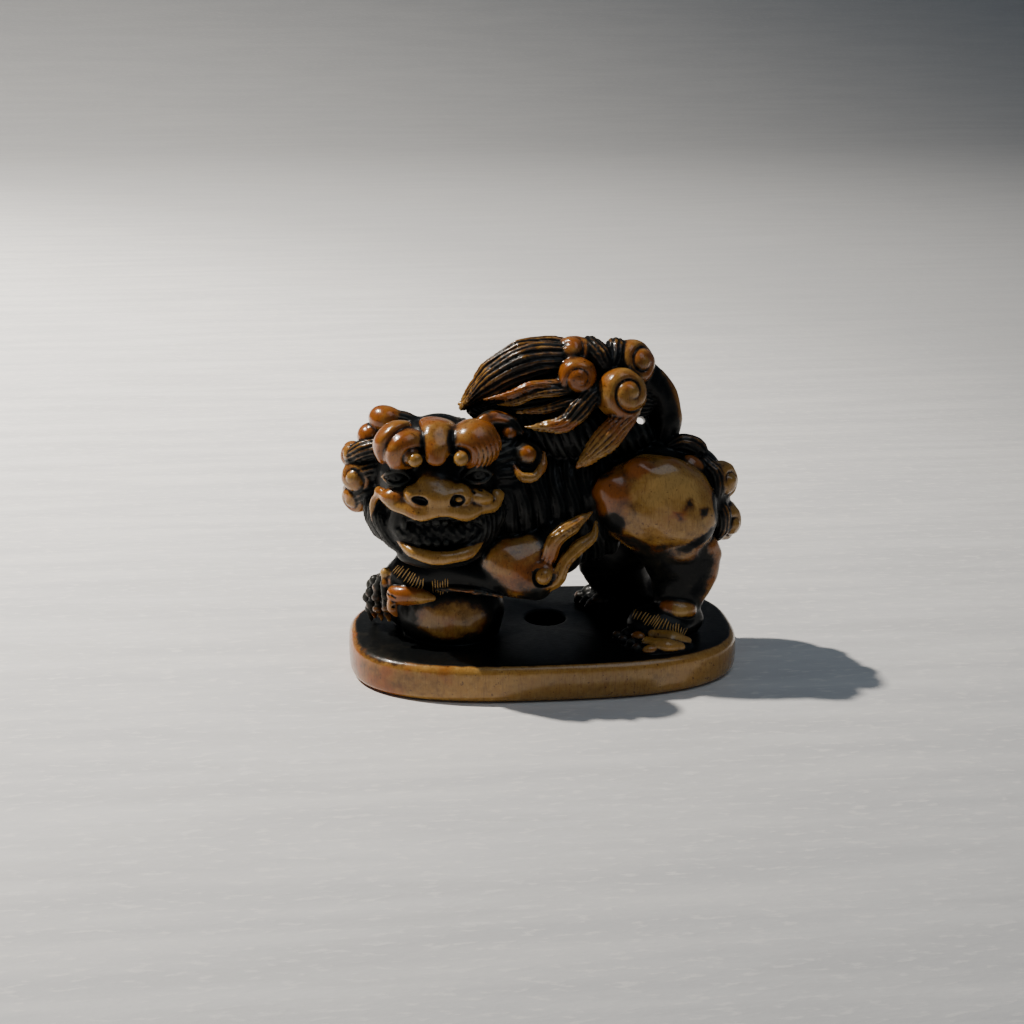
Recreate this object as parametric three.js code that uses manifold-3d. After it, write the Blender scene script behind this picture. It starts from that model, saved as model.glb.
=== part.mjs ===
// Netsuke: a lion dog with one forepaw on a ball, standing on an oval base, all cut from one block of
// boxwood. Millimetres, +Z up. The origin is the centre of the base's underside. The animal stands
// along X with its head at -X, and the head is turned to look along -Y.
//
// Every form is a ball, a swept limb or a snail curl. They are joined into one closed solid, and the
// mouth, the nostrils, the slit under the tail and the cord hole are cut from it.
import * as THREE from "three";
import { mergeVertices } from "three/addons/utils/BufferGeometryUtils.js";
import Module from "manifold-3d";

const wasm = await Module();
wasm.setup();

// ---------------------------------------------------------------- driving dimensions

const BASE = { halfLength: 20, halfDepth: 12.65, thickness: 3.8, edge: 0.8, squareness: 2.8, sides: 32 };
const CORD_HOLE = { at: [0.6, 1.9], radius: [2.1, 2.4] };
const BALL = { at: [-9.45, -1.0, 6.3], radius: 5.5 };

const HEAD = [-10.7, -3.2, 21.0];            // middle of the skull
const SHOULDER = [-4.5, 0.3, 18.0];          // middle of the chest
const BARREL = [2.6, 0.2, 17.0];             // middle of the belly
const HIPS = [11.2, 0.3, 18.2];              // middle of the pelvis
const HAUNCH = { at: [11.1, -4.0, 17.6], size: [6.1, 4.1, 5.0] };
const TAIL_TOP = [8.8, 0.3, 30.8];           // where the tail turns over into its plume
const SLIT = { line: [[9.4, -7.0, 27.3], [9.95, 0, 25.25], [10.6, 7.0, 23.2]], radius: 0.5 };

const NEAR = -1;                             // the side the head looks to
const FAR = 1;

// ---------------------------------------------------------------- building blocks

const vector = (p) => new THREE.Vector3(p[0], p[1], p[2]);
const mirrored = (p, side) => [p[0], side === NEAR ? p[1] : -p[1], p[2]];

// A closed geometry as a solid, with its faces turned outwards.
function solid(geometry) {
  geometry.deleteAttribute("normal");
  geometry.deleteAttribute("uv");
  const merged = mergeVertices(geometry, 1e-4);
  const at = merged.attributes.position.array;
  const index = Array.from(merged.index.array);
  const a = new THREE.Vector3();
  const b = new THREE.Vector3();
  const c = new THREE.Vector3();
  const kept = [];
  let volume = 0;
  for (let i = 0; i < index.length; i += 3) {
    const [p, q, r] = [index[i], index[i + 1], index[i + 2]];
    if (p === q || q === r || r === p) continue;
    a.fromArray(at, 3 * p);
    b.fromArray(at, 3 * q);
    c.fromArray(at, 3 * r);
    volume += a.dot(b.cross(c));
    kept.push(p, q, r);
  }
  if (volume < 0) kept.reverse();
  return new wasm.Manifold(new wasm.Mesh({
    numProp: 3,
    vertProperties: Float32Array.from(at),
    triVerts: Uint32Array.from(kept),
  }));
}

// An ellipsoid; turn is in degrees about X, Y and Z.
function ball(at, size, turn = [0, 0, 0], around = 12, down = 8) {
  const [x, y, z] = typeof size === "number" ? [size, size, size] : size;
  const geometry = new THREE.SphereGeometry(1, around, down);
  geometry.rotateX(Math.PI / 2);
  geometry.scale(x, y, z);
  const radians = turn.map(THREE.MathUtils.degToRad);
  geometry.applyMatrix4(new THREE.Matrix4().makeRotationFromEuler(new THREE.Euler(...radians)));
  geometry.translate(...at);
  return solid(geometry);
}

// A value read along a list that has one entry for each point of a path.
function along(list, t) {
  const place = t * (list.length - 1);
  const from = Math.min(Math.floor(place), list.length - 2);
  return THREE.MathUtils.lerp(list[from], list[from + 1], place - from);
}

// A turned bar bent along a curve. half is the bar's half width at each point and thick its half
// thickness, both closing to a rounded end. face is the way the bar's broad side looks. groove is how
// deep the furrows between its strands of hair are cut, as a share of the bar's size.
function limb(points, half, { thick = half, face = [0, -1, 0], sides = 8, steps = 6, groove = 0 } = {}) {
  const curve = new THREE.CatmullRomCurve3(points.map(vector));
  const profile = [new THREE.Vector2(0, 0)];
  for (let ring = 1; ring <= steps; ring += 1) profile.push(new THREE.Vector2(1, ring));
  profile.push(new THREE.Vector2(0, steps + 1));
  const geometry = new THREE.LatheGeometry(profile, sides);
  const at = geometry.attributes.position;
  const out = vector(face);
  const place = new THREE.Vector3();
  for (let i = 0; i < at.count; i += 1) {
    const ring = Math.round(at.getY(i));
    const t = THREE.MathUtils.clamp((ring - 1) / (steps - 1), 0, 1);
    const tangent = curve.getTangent(t);
    const side = new THREE.Vector3().crossVectors(tangent, out).normalize();
    const up = new THREE.Vector3().crossVectors(side, tangent);
    const turn = Math.atan2(at.getX(i), at.getZ(i));
    const strand = Math.round((turn / (2 * Math.PI)) * sides);
    const size = strand % 2 === 0 ? 1 : 1 - groove;
    curve.getPoint(t, place);
    if (ring === 0) place.addScaledVector(tangent, -0.6 * along(half, t));
    else if (ring === steps + 1) place.addScaledVector(tangent, 0.6 * along(half, t));
    else {
      place.addScaledVector(side, size * along(half, t) * Math.sin(turn));
      place.addScaledVector(up, size * along(thick, t) * Math.cos(turn));
    }
    at.setXYZ(i, place.x, place.y, place.z);
  }
  return solid(geometry);
}

// A lock of hair rolled up like a snail's shell round a boss that stands proud: a turned dome whose
// front carries one spiral furrow. look is the way the open side of the roll faces, start the angle at
// which the hair runs into it, and hand the way it winds.
function curl(at, radius, look, start = 0, hand = 1, sides = 8) {
  const pitch = 0.88;
  const depth = 0.14;
  const rings = [0.96, 0.74, 0.52, 0.3, 0];
  const front = rings.map((reach) => [reach, 0.64 * Math.sqrt(1 - reach * reach)]);
  const profile = [[0, -0.8], ...front].map((p) => new THREE.Vector2(...p));
  const geometry = new THREE.LatheGeometry(profile, sides);
  const place = geometry.attributes.position;
  for (let i = 0; i < place.count; i += 1) {
    const [x, y, z] = [place.getX(i), place.getY(i), place.getZ(i)];
    const reach = Math.hypot(x, z);
    const winding = 2 * Math.PI * (reach / pitch) - hand * Math.atan2(x, z) + start;
    if (y > 0 && reach > 0.4) place.setY(i, y + depth * Math.cos(winding));
    else if (y > 0) place.setY(i, y + 1.2 * depth);
  }
  const axis = new THREE.Vector3(0, 1, 0);
  const turn = new THREE.Quaternion().setFromUnitVectors(axis, vector(look).normalize());
  geometry.scale(radius, radius, radius);
  geometry.applyQuaternion(turn);
  geometry.translate(...at);
  return solid(geometry);
}

// A cuff of combed hair that flares out over the foot, with a furrow between its strands.
function cuff(from, to, half, thick) {
  return limb([from, to], half, { thick, sides: 10, steps: 2, groove: 0.18 });
}

// ---------------------------------------------------------------- base and ball

// A low block with a rounded-off oval outline and softened upper and lower edges.
function base() {
  const outline = new THREE.Shape();
  for (let i = 0; i < BASE.sides; i += 1) {
    const angle = (i / BASE.sides) * 2 * Math.PI;
    const power = 2 / BASE.squareness;
    const x = BASE.halfLength * Math.sign(Math.cos(angle)) * Math.abs(Math.cos(angle)) ** power;
    const y = BASE.halfDepth * Math.sign(Math.sin(angle)) * Math.abs(Math.sin(angle)) ** power;
    if (i === 0) outline.moveTo(x, y);
    else outline.lineTo(x, y);
  }
  const block = new THREE.ExtrudeGeometry(outline, {
    depth: BASE.thickness - 2 * BASE.edge,
    bevelThickness: BASE.edge,
    bevelSize: BASE.edge,
    bevelOffset: -BASE.edge,
    bevelSegments: 1,
    curveSegments: 1,
  });
  block.translate(0, 0, BASE.edge);
  return [solid(block)];
}

// The hole that takes the cord, straight down through the base.
function cordHole() {
  const reach = 2 * BASE.thickness;
  const drill = new THREE.CylinderGeometry(1, 1, reach, 12);
  drill.rotateX(Math.PI / 2);
  drill.scale(CORD_HOLE.radius[0], CORD_HOLE.radius[1], 1);
  drill.translate(CORD_HOLE.at[0], CORD_HOLE.at[1], 0.4 * reach);
  return solid(drill);
}

// ---------------------------------------------------------------- body

function torso() {
  const parts = [
    ball(SHOULDER, [6.8, 6.2, 7.6], [0, 0, 0], 8, 6),
    ball(BARREL, [8.6, 5.8, 6.6], [0, 0, 0], 8, 6),
    ball(HIPS, [6.6, 5.4, 4.9], [0, 0, 0], 7, 5),
    ball([15.8, 0.2, 17.0], [3.5, 4.3, 5.2], [0, 0, 0], 8, 5),
  ];
  for (const side of [NEAR, FAR]) {
    parts.push(...haunch(side));
    parts.push(...ribs(side));
  }
  return parts;
}

// The haunch: one broad swelling with a fuller front edge and top, and knobs along its lower edge.
function haunch(side) {
  const swellings = [
    { at: HAUNCH.at, size: HAUNCH.size, turn: [0, 8, 0], around: 11, down: 7 },
    { at: [7.4, -5.0, 18.6], size: [2.7, 2.5, 3.1], turn: [0, 10, 0], around: 8, down: 5 },
    { at: [14.2, -5.0, 16.2], size: [2.9, 2.4, 3.2], turn: [0, -12, 0], around: 8, down: 5 },
    { at: [13.4, -5.8, 12.9], size: [1.5, 1.3, 1.0], turn: [0, 0, 0], around: 6, down: 4 },
    { at: [16.2, -4.4, 13.2], size: [1.2, 1.3, 1.1], turn: [0, 0, 0], around: 6, down: 4 },
    { at: [9.8, -6.2, 13.4], size: [1.9, 1.2, 1.0], turn: [0, 15, 0], around: 6, down: 4 },
  ];
  const shown = side === NEAR ? swellings : swellings.slice(0, 3);
  return shown.map((lump) => ball(mirrored(lump.at, side), lump.size, lump.turn, lump.around, lump.down));
}

// Ribs that show through the flank as upright ridges.
function ribs(side) {
  const ridges = [];
  const first = -2.2;
  const pitch = 2.1;
  for (let i = 0; i < (side === NEAR ? 3 : 2); i += 1) {
    const x = first + i * pitch;
    const bar = [[x - 0.2, -4.4, 22.6], [x, -5.75, 19.4], [x + 0.5, -5.9, 16.2], [x + 1.1, -4.9, 13.2]];
    const size = [0.35, 0.75, 0.8, 0.4];
    ridges.push(limb(bar.map((p) => mirrored(p, side)), size, { sides: 4, steps: 3 }));
  }
  return ridges;
}

// ---------------------------------------------------------------- legs

// A toe that swells at its knuckle and ends in a hooked claw.
function toe(points, half, claw) {
  return limb([...points, claw], [...half, 0.3], { face: [0, 0, 1], sides: 5, steps: points.length + 1 });
}

// The forelegs: the near one bends at the elbow and lays its forearm over the ball, with its toes
// hanging down beyond; the far one stands.
function forelegs() {
  const forearm = [[-1.4, -6.6, 10.7], [-5.5, -5.7, 11.0], [-9.2, -4.6, 11.4], [-13.2, -2.6, 11.0]];
  const farLeg = [[-3.6, 4.0, 16.5], [-2.9, 6.0, 12.6], [-5.4, 6.9, 8.4], [-9.6, 7.4, 5.4]];
  const outerToe = [[-14.4, -4.5, 9.0], [-13.0, -5.3, 8.9]];
  const parts = [
    ball([-3.3, -5.8, 12.0], [3.9, 2.7, 2.7], [0, 30, 0], 8, 6),
    ball([-2.3, -6.6, 10.8], [2.7, 1.8, 1.7], [0, 0, 0], 8, 5),
    limb(forearm, [1.9, 1.7, 1.8, 2.3], { sides: 7, steps: 4 }),
    cuff([-12.2, -2.7, 11.6], [-14.2, -2.3, 9.8], [1.9, 3.1], [2.1, 3.1]),
    ball([-14.2, 1.2, 7.4], [2.5, 3.4, 3.6], [0, 0, 0], 6, 5),
    toe(outerToe, [1.25, 0.95], [-11.0, -5.9, 8.9]),
    limb(farLeg, [3.0, 2.7, 2.0, 2.1], { face: [0, 1, 0], sides: 7, steps: 4 }),
  ];
  const hangingToes = [
    { line: [[-14.2, -2.6, 10.2], [-16.3, -2.5, 9.6], [-15.9, -2.6, 7.2]], claw: [-15.3, -2.6, 6.0] },
    { line: [[-14.4, -0.9, 10.7], [-16.8, -0.8, 9.9], [-16.7, -0.6, 6.8]], claw: [-15.9, -0.6, 4.8] },
    { line: [[-14.4, 1.0, 9.9], [-17.1, 1.3, 8.4], [-17.2, 1.4, 5.6]], claw: [-16.9, 1.3, 4.0] },
    { line: [[-14.4, 3.2, 8.6], [-17.0, 3.5, 7.2], [-17.6, 3.7, 5.4]], claw: [-17.7, 3.5, 4.0] },
  ];
  for (const { line, claw } of hangingToes) parts.push(toe(line, [0.8, 0.8, 0.7], claw));
  for (let i = 0; i < 3; i += 1) {
    const y = 5.8 + 1.6 * i;
    const reach = 0.5 * (i % 2);
    const line = [[-9.6, y, 5.3], [-12.0 - reach, y, 4.8]];
    parts.push(toe(line, [1.1, 0.95], [-13.6 - reach, y, 3.9]));
  }
  return parts;
}

// The hind legs: the near foot points forward and out, the far leg is drawn further under the belly.
function hindlegs() {
  const nearShank = [[12.4, -3.8, 14.4], [14.0, -3.4, 11.3], [13.7, -3.5, 8.2], [13.4, -3.9, 5.6]];
  const nearFoot = [[14.4, -3.6, 5.2], [12.6, -5.6, 5.3], [10.4, -6.4, 4.9]];
  const farShank = [[9.8, 4.4, 13.2], [8.2, 4.7, 9.9], [9.1, 5.0, 7.0], [10.6, 5.2, 5.4]];
  const farFoot = [[11.8, 5.2, 5.0], [9.4, 5.4, 5.2], [7.4, 5.5, 4.9]];
  const parts = [
    limb(nearShank, [3.8, 3.8, 2.7, 2.2], { thick: [2.8, 2.7, 2.2, 2.0], sides: 7, steps: 4 }),
    limb(nearFoot, [1.8, 2.3, 2.0], { face: [0, 0, 1], thick: [1.6, 1.7, 1.4], sides: 6, steps: 3 }),
    limb(farShank, [4.4, 4.0, 3.2, 2.4], { thick: [2.8, 2.8, 2.4, 2.0], sides: 6, steps: 4 }),
    limb(farFoot, [1.8, 2.3, 2.1], { face: [0, 0, 1], thick: [1.5, 1.7, 1.4], sides: 5, steps: 3 }),
    cuff([13.2, -4.6, 7.4], [11.8, -5.8, 5.3], [1.3, 3.4], [1.2, 2.8]),
    ball([13.8, -5.3, 7.3], [1.9, 1.6, 1.25], [0, 0, 0], 6, 4),
    toe([[14.2, -6.8, 4.7], [12.2, -8.5, 4.9], [10.4, -9.3, 4.8]], [0.4, 1.0, 0.75], [8.9, -9.9, 4.0]),
  ];
  for (let i = 0; i < 3; i += 1) {
    const inward = 1.35 * i;
    const line = [[12.0 - inward, -6.9 + 0.8 * i, 5.4], [9.8 - inward, -8.2 + inward, 5.2]];
    parts.push(toe(line, [1.0, 0.8], [8.3 - inward, -9.0 + inward, 3.9]));
  }
  for (let i = 0; i < 3; i += 1) {
    const y = 3.8 + 1.7 * i;
    const reach = 0.5 * (i % 2);
    parts.push(toe([[8.4, y, 5.1], [6.3 - reach, y, 4.8]], [1.2, 1.0], [5.1 - reach, y, 3.9]));
  }
  return parts;
}

// ---------------------------------------------------------------- head

function head() {
  const [x, y, z] = HEAD;
  const middle = x - 0.5;                    // the face is turned a little past the skull
  const upperLip = [
    [-16.8, -6.6, 20.5], [-14.6, -9.1, 19.4], [-12.8, -10.0, 19.0],
    [-10.7, -10.3, 19.4], [-8.3, -9.6, 18.8], [-5.2, -6.9, 19.6],
  ];
  const lowerLip = [
    [-15.1, -6.8, 15.9], [-13.6, -9.0, 14.9], [-10.8, -9.9, 14.5], [-8.2, -9.0, 14.8], [-6.6, -7.2, 15.6],
  ];
  const parts = [
    ball(HEAD, [6.3, 6.0, 6.1], [0, 0, 0], 10, 7),
    ball([x + 0.1, y - 1.2, z - 3.9], [6.3, 5.5, 4.5], [0, 0, 0], 9, 5),
    ball([middle, y - 4.6, z - 0.8], [3.7, 3.0, 1.9], [0, 0, 0], 8, 5),
    ball([middle, y - 6.4, z + 0.1], [1.9, 1.6, 1.5], [20, 0, 0], 7, 5),
    ball([middle + 0.2, y - 4.5, z + 5.0], [1.9, 2.1, 2.0], [15, 0, 0], 8, 5),
    ball([middle + 0.3, y - 3.9, z - 6.7], [4.3, 2.6, 1.8], [0, 0, 0], 7, 4),
    limb(upperLip, [0.6, 0.7, 0.75, 0.7, 0.75, 0.7], { face: [0, -1, 0.3], sides: 5, steps: 6 }),
    limb(lowerLip, [0.35, 0.75, 0.8, 0.7, 0.3], { face: [0, -1, 0.2], sides: 5, steps: 5 }),
  ];
  for (const hand of [-1, 1]) {
    parts.push(ball([middle + 2.0 * hand, y - 6.2, z - 0.3], [1.4, 1.3, 1.0], [0, 0, 0], 6, 4));
    parts.push(...brow(middle, hand));
    parts.push(...cheekHair(middle, hand));
  }
  return parts;
}

// The hollows the eyes sit in.
function eyes() {
  const places = [[-15.1, -8.7, 22.3], [-7.2, -8.7, 22.3]];
  return places.map((at) => ball(at, [1.6, 1.0, 0.8], [0, 0, 0], 6, 3));
}

// A brow is a swollen mound with a small ball at its inner end.
function brow(middle, hand) {
  return [
    ball([middle + 0.15 + 3.6 * hand, -7.3, 25.15], [2.7, 2.6, 2.5], [0, 0, 0], 9, 6),
    ball([middle + 2.2 * hand, -9.75, 24.35], 0.75, [0, 0, 0], 6, 4),
  ];
}

// Combed hair that sweeps from the cheek round the corner of the jaw.
function cheekHair(middle, hand) {
  const parts = [];
  for (let i = 0; i < 2; i += 1) {
    const reach = 5.9 + 0.6 * i;
    const back = 1.6 * i;
    const lock = [
      [middle + hand * reach, -6.9 + back, 19.9],
      [middle + hand * (reach + 0.1), -6.5 + back, 17.8],
      [middle + hand * (reach - 0.8), -6.6 + back, 15.8],
      [middle + hand * (reach - 2.5), -7.5 + back, 14.1],
    ];
    parts.push(limb(lock, [0.4, 0.7, 0.7, 0.3], { face: [hand, -1, 0], sides: 4, steps: 3 }));
  }
  return parts;
}

// The open mouth, cut back behind the lips.
function mouth() {
  return ball([-11.1, -9.9, 16.8], [4.8, 3.3, 1.45], [0, 0, 0], 10, 6);
}

function teeth() {
  const parts = [];
  const count = 4;
  for (let i = 0; i < count; i += 1) {
    const across = (2 * i) / (count - 1) - 1;
    const bend = 1.5 * across * across;
    parts.push(ball([-11.3 + 3.2 * across, -8.7 + bend, 15.9], 0.75, [0, 0, 0], 4, 3));
  }
  return parts;
}

function nostrils() {
  const places = [[-13.05, -10.8, 20.45], [-9.35, -10.8, 20.45]];
  return places.map((at) => ball(at, [0.7, 0.75, 0.45], [0, 0, 0], 5, 4));
}

// The mane: a thick ruff behind the face that ends in snail curls, with an ear on each side.
function mane() {
  const crownCurl = [[-15.6, -1.6, 25.9], [-13.9, -1.8, 26.0], [-12.2, -2.6, 25.6]];
  return [
    ball([-14.9, 0.4, 21.0], [4.5, 4.8, 5.2], [0, 0, 0], 8, 5),
    ball([-4.8, -0.6, 21.4], [4.6, 5.4, 4.9], [0, 0, 0], 8, 5),
    ball([-9.4, 3.0, 20.4], [6.6, 4.6, 4.9], [0, 0, 0], 8, 5),
    ball([-15.9, -1.6, 26.5], [1.7, 1.6, 1.35], [0, 0, 0], 6, 4),
    ball([-17.4, -1.4, 24.8], 1.35, [0, 0, 0], 6, 4),
    ball([-5.4, -2.6, 26.2], [1.3, 1.2, 1.0], [0, 0, 0], 6, 4),
    limb(crownCurl, [1.5, 1.1, 0.7], { sides: 5, steps: 3 }),
    curl([-19.2, -1.2, 22.8], 1.45, [-0.7, -0.7, 0.2], 0.5, 1, 7),
    curl([-18.7, -2.0, 20.7], 1.85, [-0.6, -0.8, 0.1], 1.5, -1, 7),
    curl([-18.9, -1.2, 18.4], 1.7, [-0.7, -0.7, -0.2], 2.5, 1, 7),
    curl([-2.1, -4.4, 22.6], 1.95, [0.3, -0.95, 0.15], 4.0, 1),
    curl([-16.4, 4.4, 21.6], 2.4, [-0.6, 0.75, 0.25], 1.0, 1, 6),
    curl([-11.6, 6.4, 22.4], 2.4, [-0.1, 0.9, 0.4], 2.0, -1, 7),
    curl([-6.4, 6.2, 21.4], 2.4, [0.3, 0.95, 0.2], 0.4, 1, 6),
    curl([-12.0, 6.8, 17.9], 2.5, [-0.2, 1, 0], 5.0, 1, 6),
  ];
}

// ---------------------------------------------------------------- tail

// A smooth band that climbs from the rump, turns over and breaks into a plume of locks and curls.
function tail() {
  const band = [[12.0, 1.4, 21.0], [12.6, 1.2, 24.2], [12.3, 1.0, 27.0], [10.9, 0.6, 29.4], TAIL_TOP];
  const bandShape = { face: [1, 0, 0], thick: [1.6, 1.5, 1.5, 1.6, 1.4], sides: 7, steps: 5 };
  const plume = [
    [9.6, 0.4, 27.6], [5.6, 0.2, 28.6], [2.0, 0.0, 28.6], [-2.4, -0.2, 28.0], [-6.8, -0.4, 27.0],
  ];
  const plumeShape = { thick: [2.2, 3.3, 3.5, 2.8, 1.2], sides: 7, steps: 5 };
  const parts = [
    limb(band, [2.4, 2.3, 2.2, 2.1, 2.0], bandShape),
    limb(plume, [2.6, 3.2, 3.0, 2.4, 1.0], plumeShape),
    ball([3.4, 0.3, 24.6], [8.2, 4.9, 3.5], [0, 4, 0], 7, 5),
  ];
  for (const side of [NEAR, FAR]) parts.push(...plumeLocks(side));
  parts.push(
    curl([7.4, -3.9, 29.0], 2.6, [0.1, -1, 0.1], 2.2, -1),
    curl([8.9, -0.9, 31.4], 2.45, [0.5, -0.8, 0.3], 1.0, -1),
    curl([2.9, -1.2, 32.5], 1.95, [-0.3, -0.85, 0.35], 3.6, 1),
    curl([3.1, -3.2, 30.7], 2.0, [0, -1, 0.1], 0.6, -1),
    curl([7.6, 3.2, 29.0], 2.6, [0.1, 1, 0.1], 2.2, 1, 7),
    curl([3.2, 2.4, 30.8], 2.1, [-0.1, 1, 0.3], 0.6, 1, 6),
    curl([15.5, -0.2, 22.1], 1.3, [0.5, -0.6, 0.5], 1.0, 1, 6),
    curl([18.1, -1.8, 19.3], 2.0, [0.6, -0.8, 0.1], 2.4, -1),
    curl([18.7, -1.4, 14.9], 2.05, [0.6, -0.8, 0], 5.4, 1),
    curl([17.4, 3.2, 17.8], 2.0, [0.7, 0.7, 0], 1.2, 1, 6),
  );
  return parts;
}

// Locks of combed hair that stream forward from the tail over the back.
function plumeLocks(side) {
  const crest = [[4.0, -0.9, 31.8], [-0.2, -1.3, 31.4], [-4.2, -1.3, 29.9], [-8.2, -0.9, 26.9]];
  const wave = [[2.8, -2.9, 30.4], [-0.9, -3.7, 30.0], [-3.4, -3.6, 28.9], [-6.2, -2.9, 28.3]];
  const flame = [[5.4, -3.6, 29.0], [3.0, -4.5, 27.4], [0.8, -4.9, 26.2], [-2.4, -4.6, 25.9]];
  const drop = [[8.4, -4.0, 27.0], [6.5, -5.1, 26.0], [4.5, -5.8, 24.2], [2.7, -6.0, 22.3]];
  const locks = [
    { line: crest, half: [1.8, 2.1, 1.8, 0.3] },
    { line: flame, half: [1.0, 1.2, 1.0, 0.25] },
    { line: drop, half: [1.2, 1.6, 1.4, 0.3] },
    { line: wave, half: [0.8, 0.9, 0.8, 0.25] },
  ];
  const [shown, sides, steps] = side === NEAR ? [locks, 8, 5] : [locks.slice(0, 3), 6, 4];
  return shown.map(({ line, half }) => limb(
    line.map((p) => mirrored(p, side)),
    half,
    { face: [0, side, 0.25], thick: half.map((size) => 0.75 * size), sides, steps, groove: 0.2 },
  ));
}

// The slit that shows daylight between the rising tail and the back.
function slit() {
  return limb(SLIT.line, SLIT.line.map(() => SLIT.radius), { sides: 5, steps: 2 });
}

// The flame-shaped tuft that springs from the bent elbow, with a boss at its root.
function elbowTuft() {
  const line = [[-0.4, -8.0, 11.6], [1.5, -7.9, 12.5], [2.9, -7.4, 14.6], [4.7, -6.5, 17.5]];
  return [
    limb(line, [1.2, 1.3, 1.1, 0.25], { thick: [0.8, 0.8, 0.7, 0.3], steps: 5, groove: 0.22 }),
    ball([1.2, -5.4, 12.6], [2.4, 2.6, 2.6], [0, 0, 0], 6, 4),
    ball([-0.85, -8.2, 11.7], [1.3, 1.0, 1.3], [0, 0, 0], 7, 4),
  ];
}

// ---------------------------------------------------------------- joining and cutting

function joined(parts) {
  return parts.flat().reduce((whole, part) => whole.add(part));
}

function carving() {
  let block = joined([torso(), head(), mane(), tail(), forelegs(), hindlegs(), elbowTuft()]);
  for (const hollow of [mouth(), ...nostrils(), ...eyes()]) block = block.subtract(hollow);
  block = joined([[block], teeth(), [ball(BALL.at, BALL.radius, [0, 0, 0], 12, 7)], base()]);
  return block.subtract(slit()).subtract(cordHole());
}

function geometryOf(body) {
  const mesh = body.getMesh();
  const geometry = new THREE.BufferGeometry();
  geometry.setAttribute("position", new THREE.BufferAttribute(Float32Array.from(mesh.vertProperties), 3));
  geometry.setIndex(new THREE.BufferAttribute(Uint32Array.from(mesh.triVerts), 1));
  return geometry;
}

const stainedBoxwood = new THREE.MeshStandardMaterial({ color: 0x8a5a26, roughness: 0.38, metalness: 0 });

const netsuke = new THREE.Mesh(geometryOf(carving()), stainedBoxwood);
netsuke.name = "netsuke";

const group = new THREE.Group();
group.add(netsuke);

export default group;
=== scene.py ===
# %% [markdown]
# # A netsuke: a lion dog with its paw on a ball
# This netsuke is a toggle carved from one block of boxwood, about 41 mm long. A lion dog crouches
# along an oval base with its head turned to the side, one forepaw on a ball, and its tail thrown
# forward over its back in combed locks and snail curls. The carver stained the whole block nearly
# black and polished it, and wear has brought the golden wood back on every high place.
#
# A carving is one skin with hundreds of soft joints, so it is made here in a block of small cells:
# wood is put on and cut away inside it, form by form, and one skin is drawn round what is left.

# %% Loading the frame
import math

import bpy
import numpy as np
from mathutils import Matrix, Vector


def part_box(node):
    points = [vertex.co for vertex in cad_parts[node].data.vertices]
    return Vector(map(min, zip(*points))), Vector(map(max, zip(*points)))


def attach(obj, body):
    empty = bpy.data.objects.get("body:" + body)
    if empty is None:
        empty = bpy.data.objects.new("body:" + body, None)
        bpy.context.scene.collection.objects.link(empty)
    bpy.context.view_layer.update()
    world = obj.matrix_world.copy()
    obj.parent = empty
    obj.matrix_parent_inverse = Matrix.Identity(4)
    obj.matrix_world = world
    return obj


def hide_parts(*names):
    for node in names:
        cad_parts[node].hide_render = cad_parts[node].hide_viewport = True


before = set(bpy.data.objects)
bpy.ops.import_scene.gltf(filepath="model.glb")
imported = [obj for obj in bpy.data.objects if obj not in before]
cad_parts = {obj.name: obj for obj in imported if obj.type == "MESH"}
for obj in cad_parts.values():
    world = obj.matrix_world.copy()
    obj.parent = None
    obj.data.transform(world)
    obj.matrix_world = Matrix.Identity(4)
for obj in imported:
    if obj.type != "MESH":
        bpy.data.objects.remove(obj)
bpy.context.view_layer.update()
block_low, block_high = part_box("netsuke")

BASE_DEPTH = 25.3                                    # across the oval base, in the carver's millimetres
MM = (block_high.y - block_low.y) / BASE_DEPTH       # one of those millimetres in the frame
print("block, mm:", [round(v, 2) for v in (block_high - block_low) / MM])

# %% [markdown]
# ## The block of cells
# Blender could join hundreds of meshes with booleans or sculpt brushes, but both leave creases that
# no knife makes. A signed distance block is kinder: each cell holds how far it is from the wood, less
# than nothing inside. Putting a form on takes the smaller distance and cutting takes the larger, with
# a little softness so that forms run into each other as they do under a rasp and sandpaper.
# Two more blocks remember how bare each place was rubbed and how warm its wood is; a few pale
# patches in them are painted highlights.

# %% The block and its windows
STEP = 0.13                  # the side of a cell
ROOM = 1.2                                           # air left round the piece
FAR_OFF = 4.0                                        # the block starts as air, this far from any wood
FARTHEST = 9.0                                       # no lock measures farther from itself than this
NEAR, FAR = -1, 1                                    # the side the head looks to, and the other

corner = np.array(block_low) / MM - ROOM
count = np.ceil((np.array(block_high - block_low) / MM + 2 * ROOM) / STEP).astype(int)
rulers = [(corner[i] + STEP * np.arange(count[i])).astype(np.float32) for i in range(3)]
field = np.full(count, FAR_OFF, np.float32)
bare = np.full(count, 0.1, np.float32)
warm = np.full(count, 0.3, np.float32)
print("cells:", count, field.size)

# How bare and how warm the main surfaces are.
INK = (-0.25, 0.3)
DUSK = (0.1, 0.5)
OCHRE = (1.0, 0.2)
AMBER = (0.88, 0.85)
HONEY = (0.85, 0.55)
HAIR = (0.24, 0.1)


def window(low, high):
    """The part of the block between two corners: its slices and its three rulers."""
    first = np.clip(np.floor((np.asarray(low) - corner) / STEP).astype(int), 0, count - 1)
    last = np.clip(np.ceil((np.asarray(high) - corner) / STEP).astype(int) + 1, 1, count)
    part = tuple(slice(a, b) for a, b in zip(first, last))
    return part, np.meshgrid(*[rulers[i][part[i]] for i in range(3)], indexing="ij", sparse=True)


def tint(part, share, paint):
    """Brings the finish of a part of the block nearer to paint by a share."""
    bare[part] += (paint[0] - bare[part]) * share
    warm[part] += (paint[1] - warm[part]) * share


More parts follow.
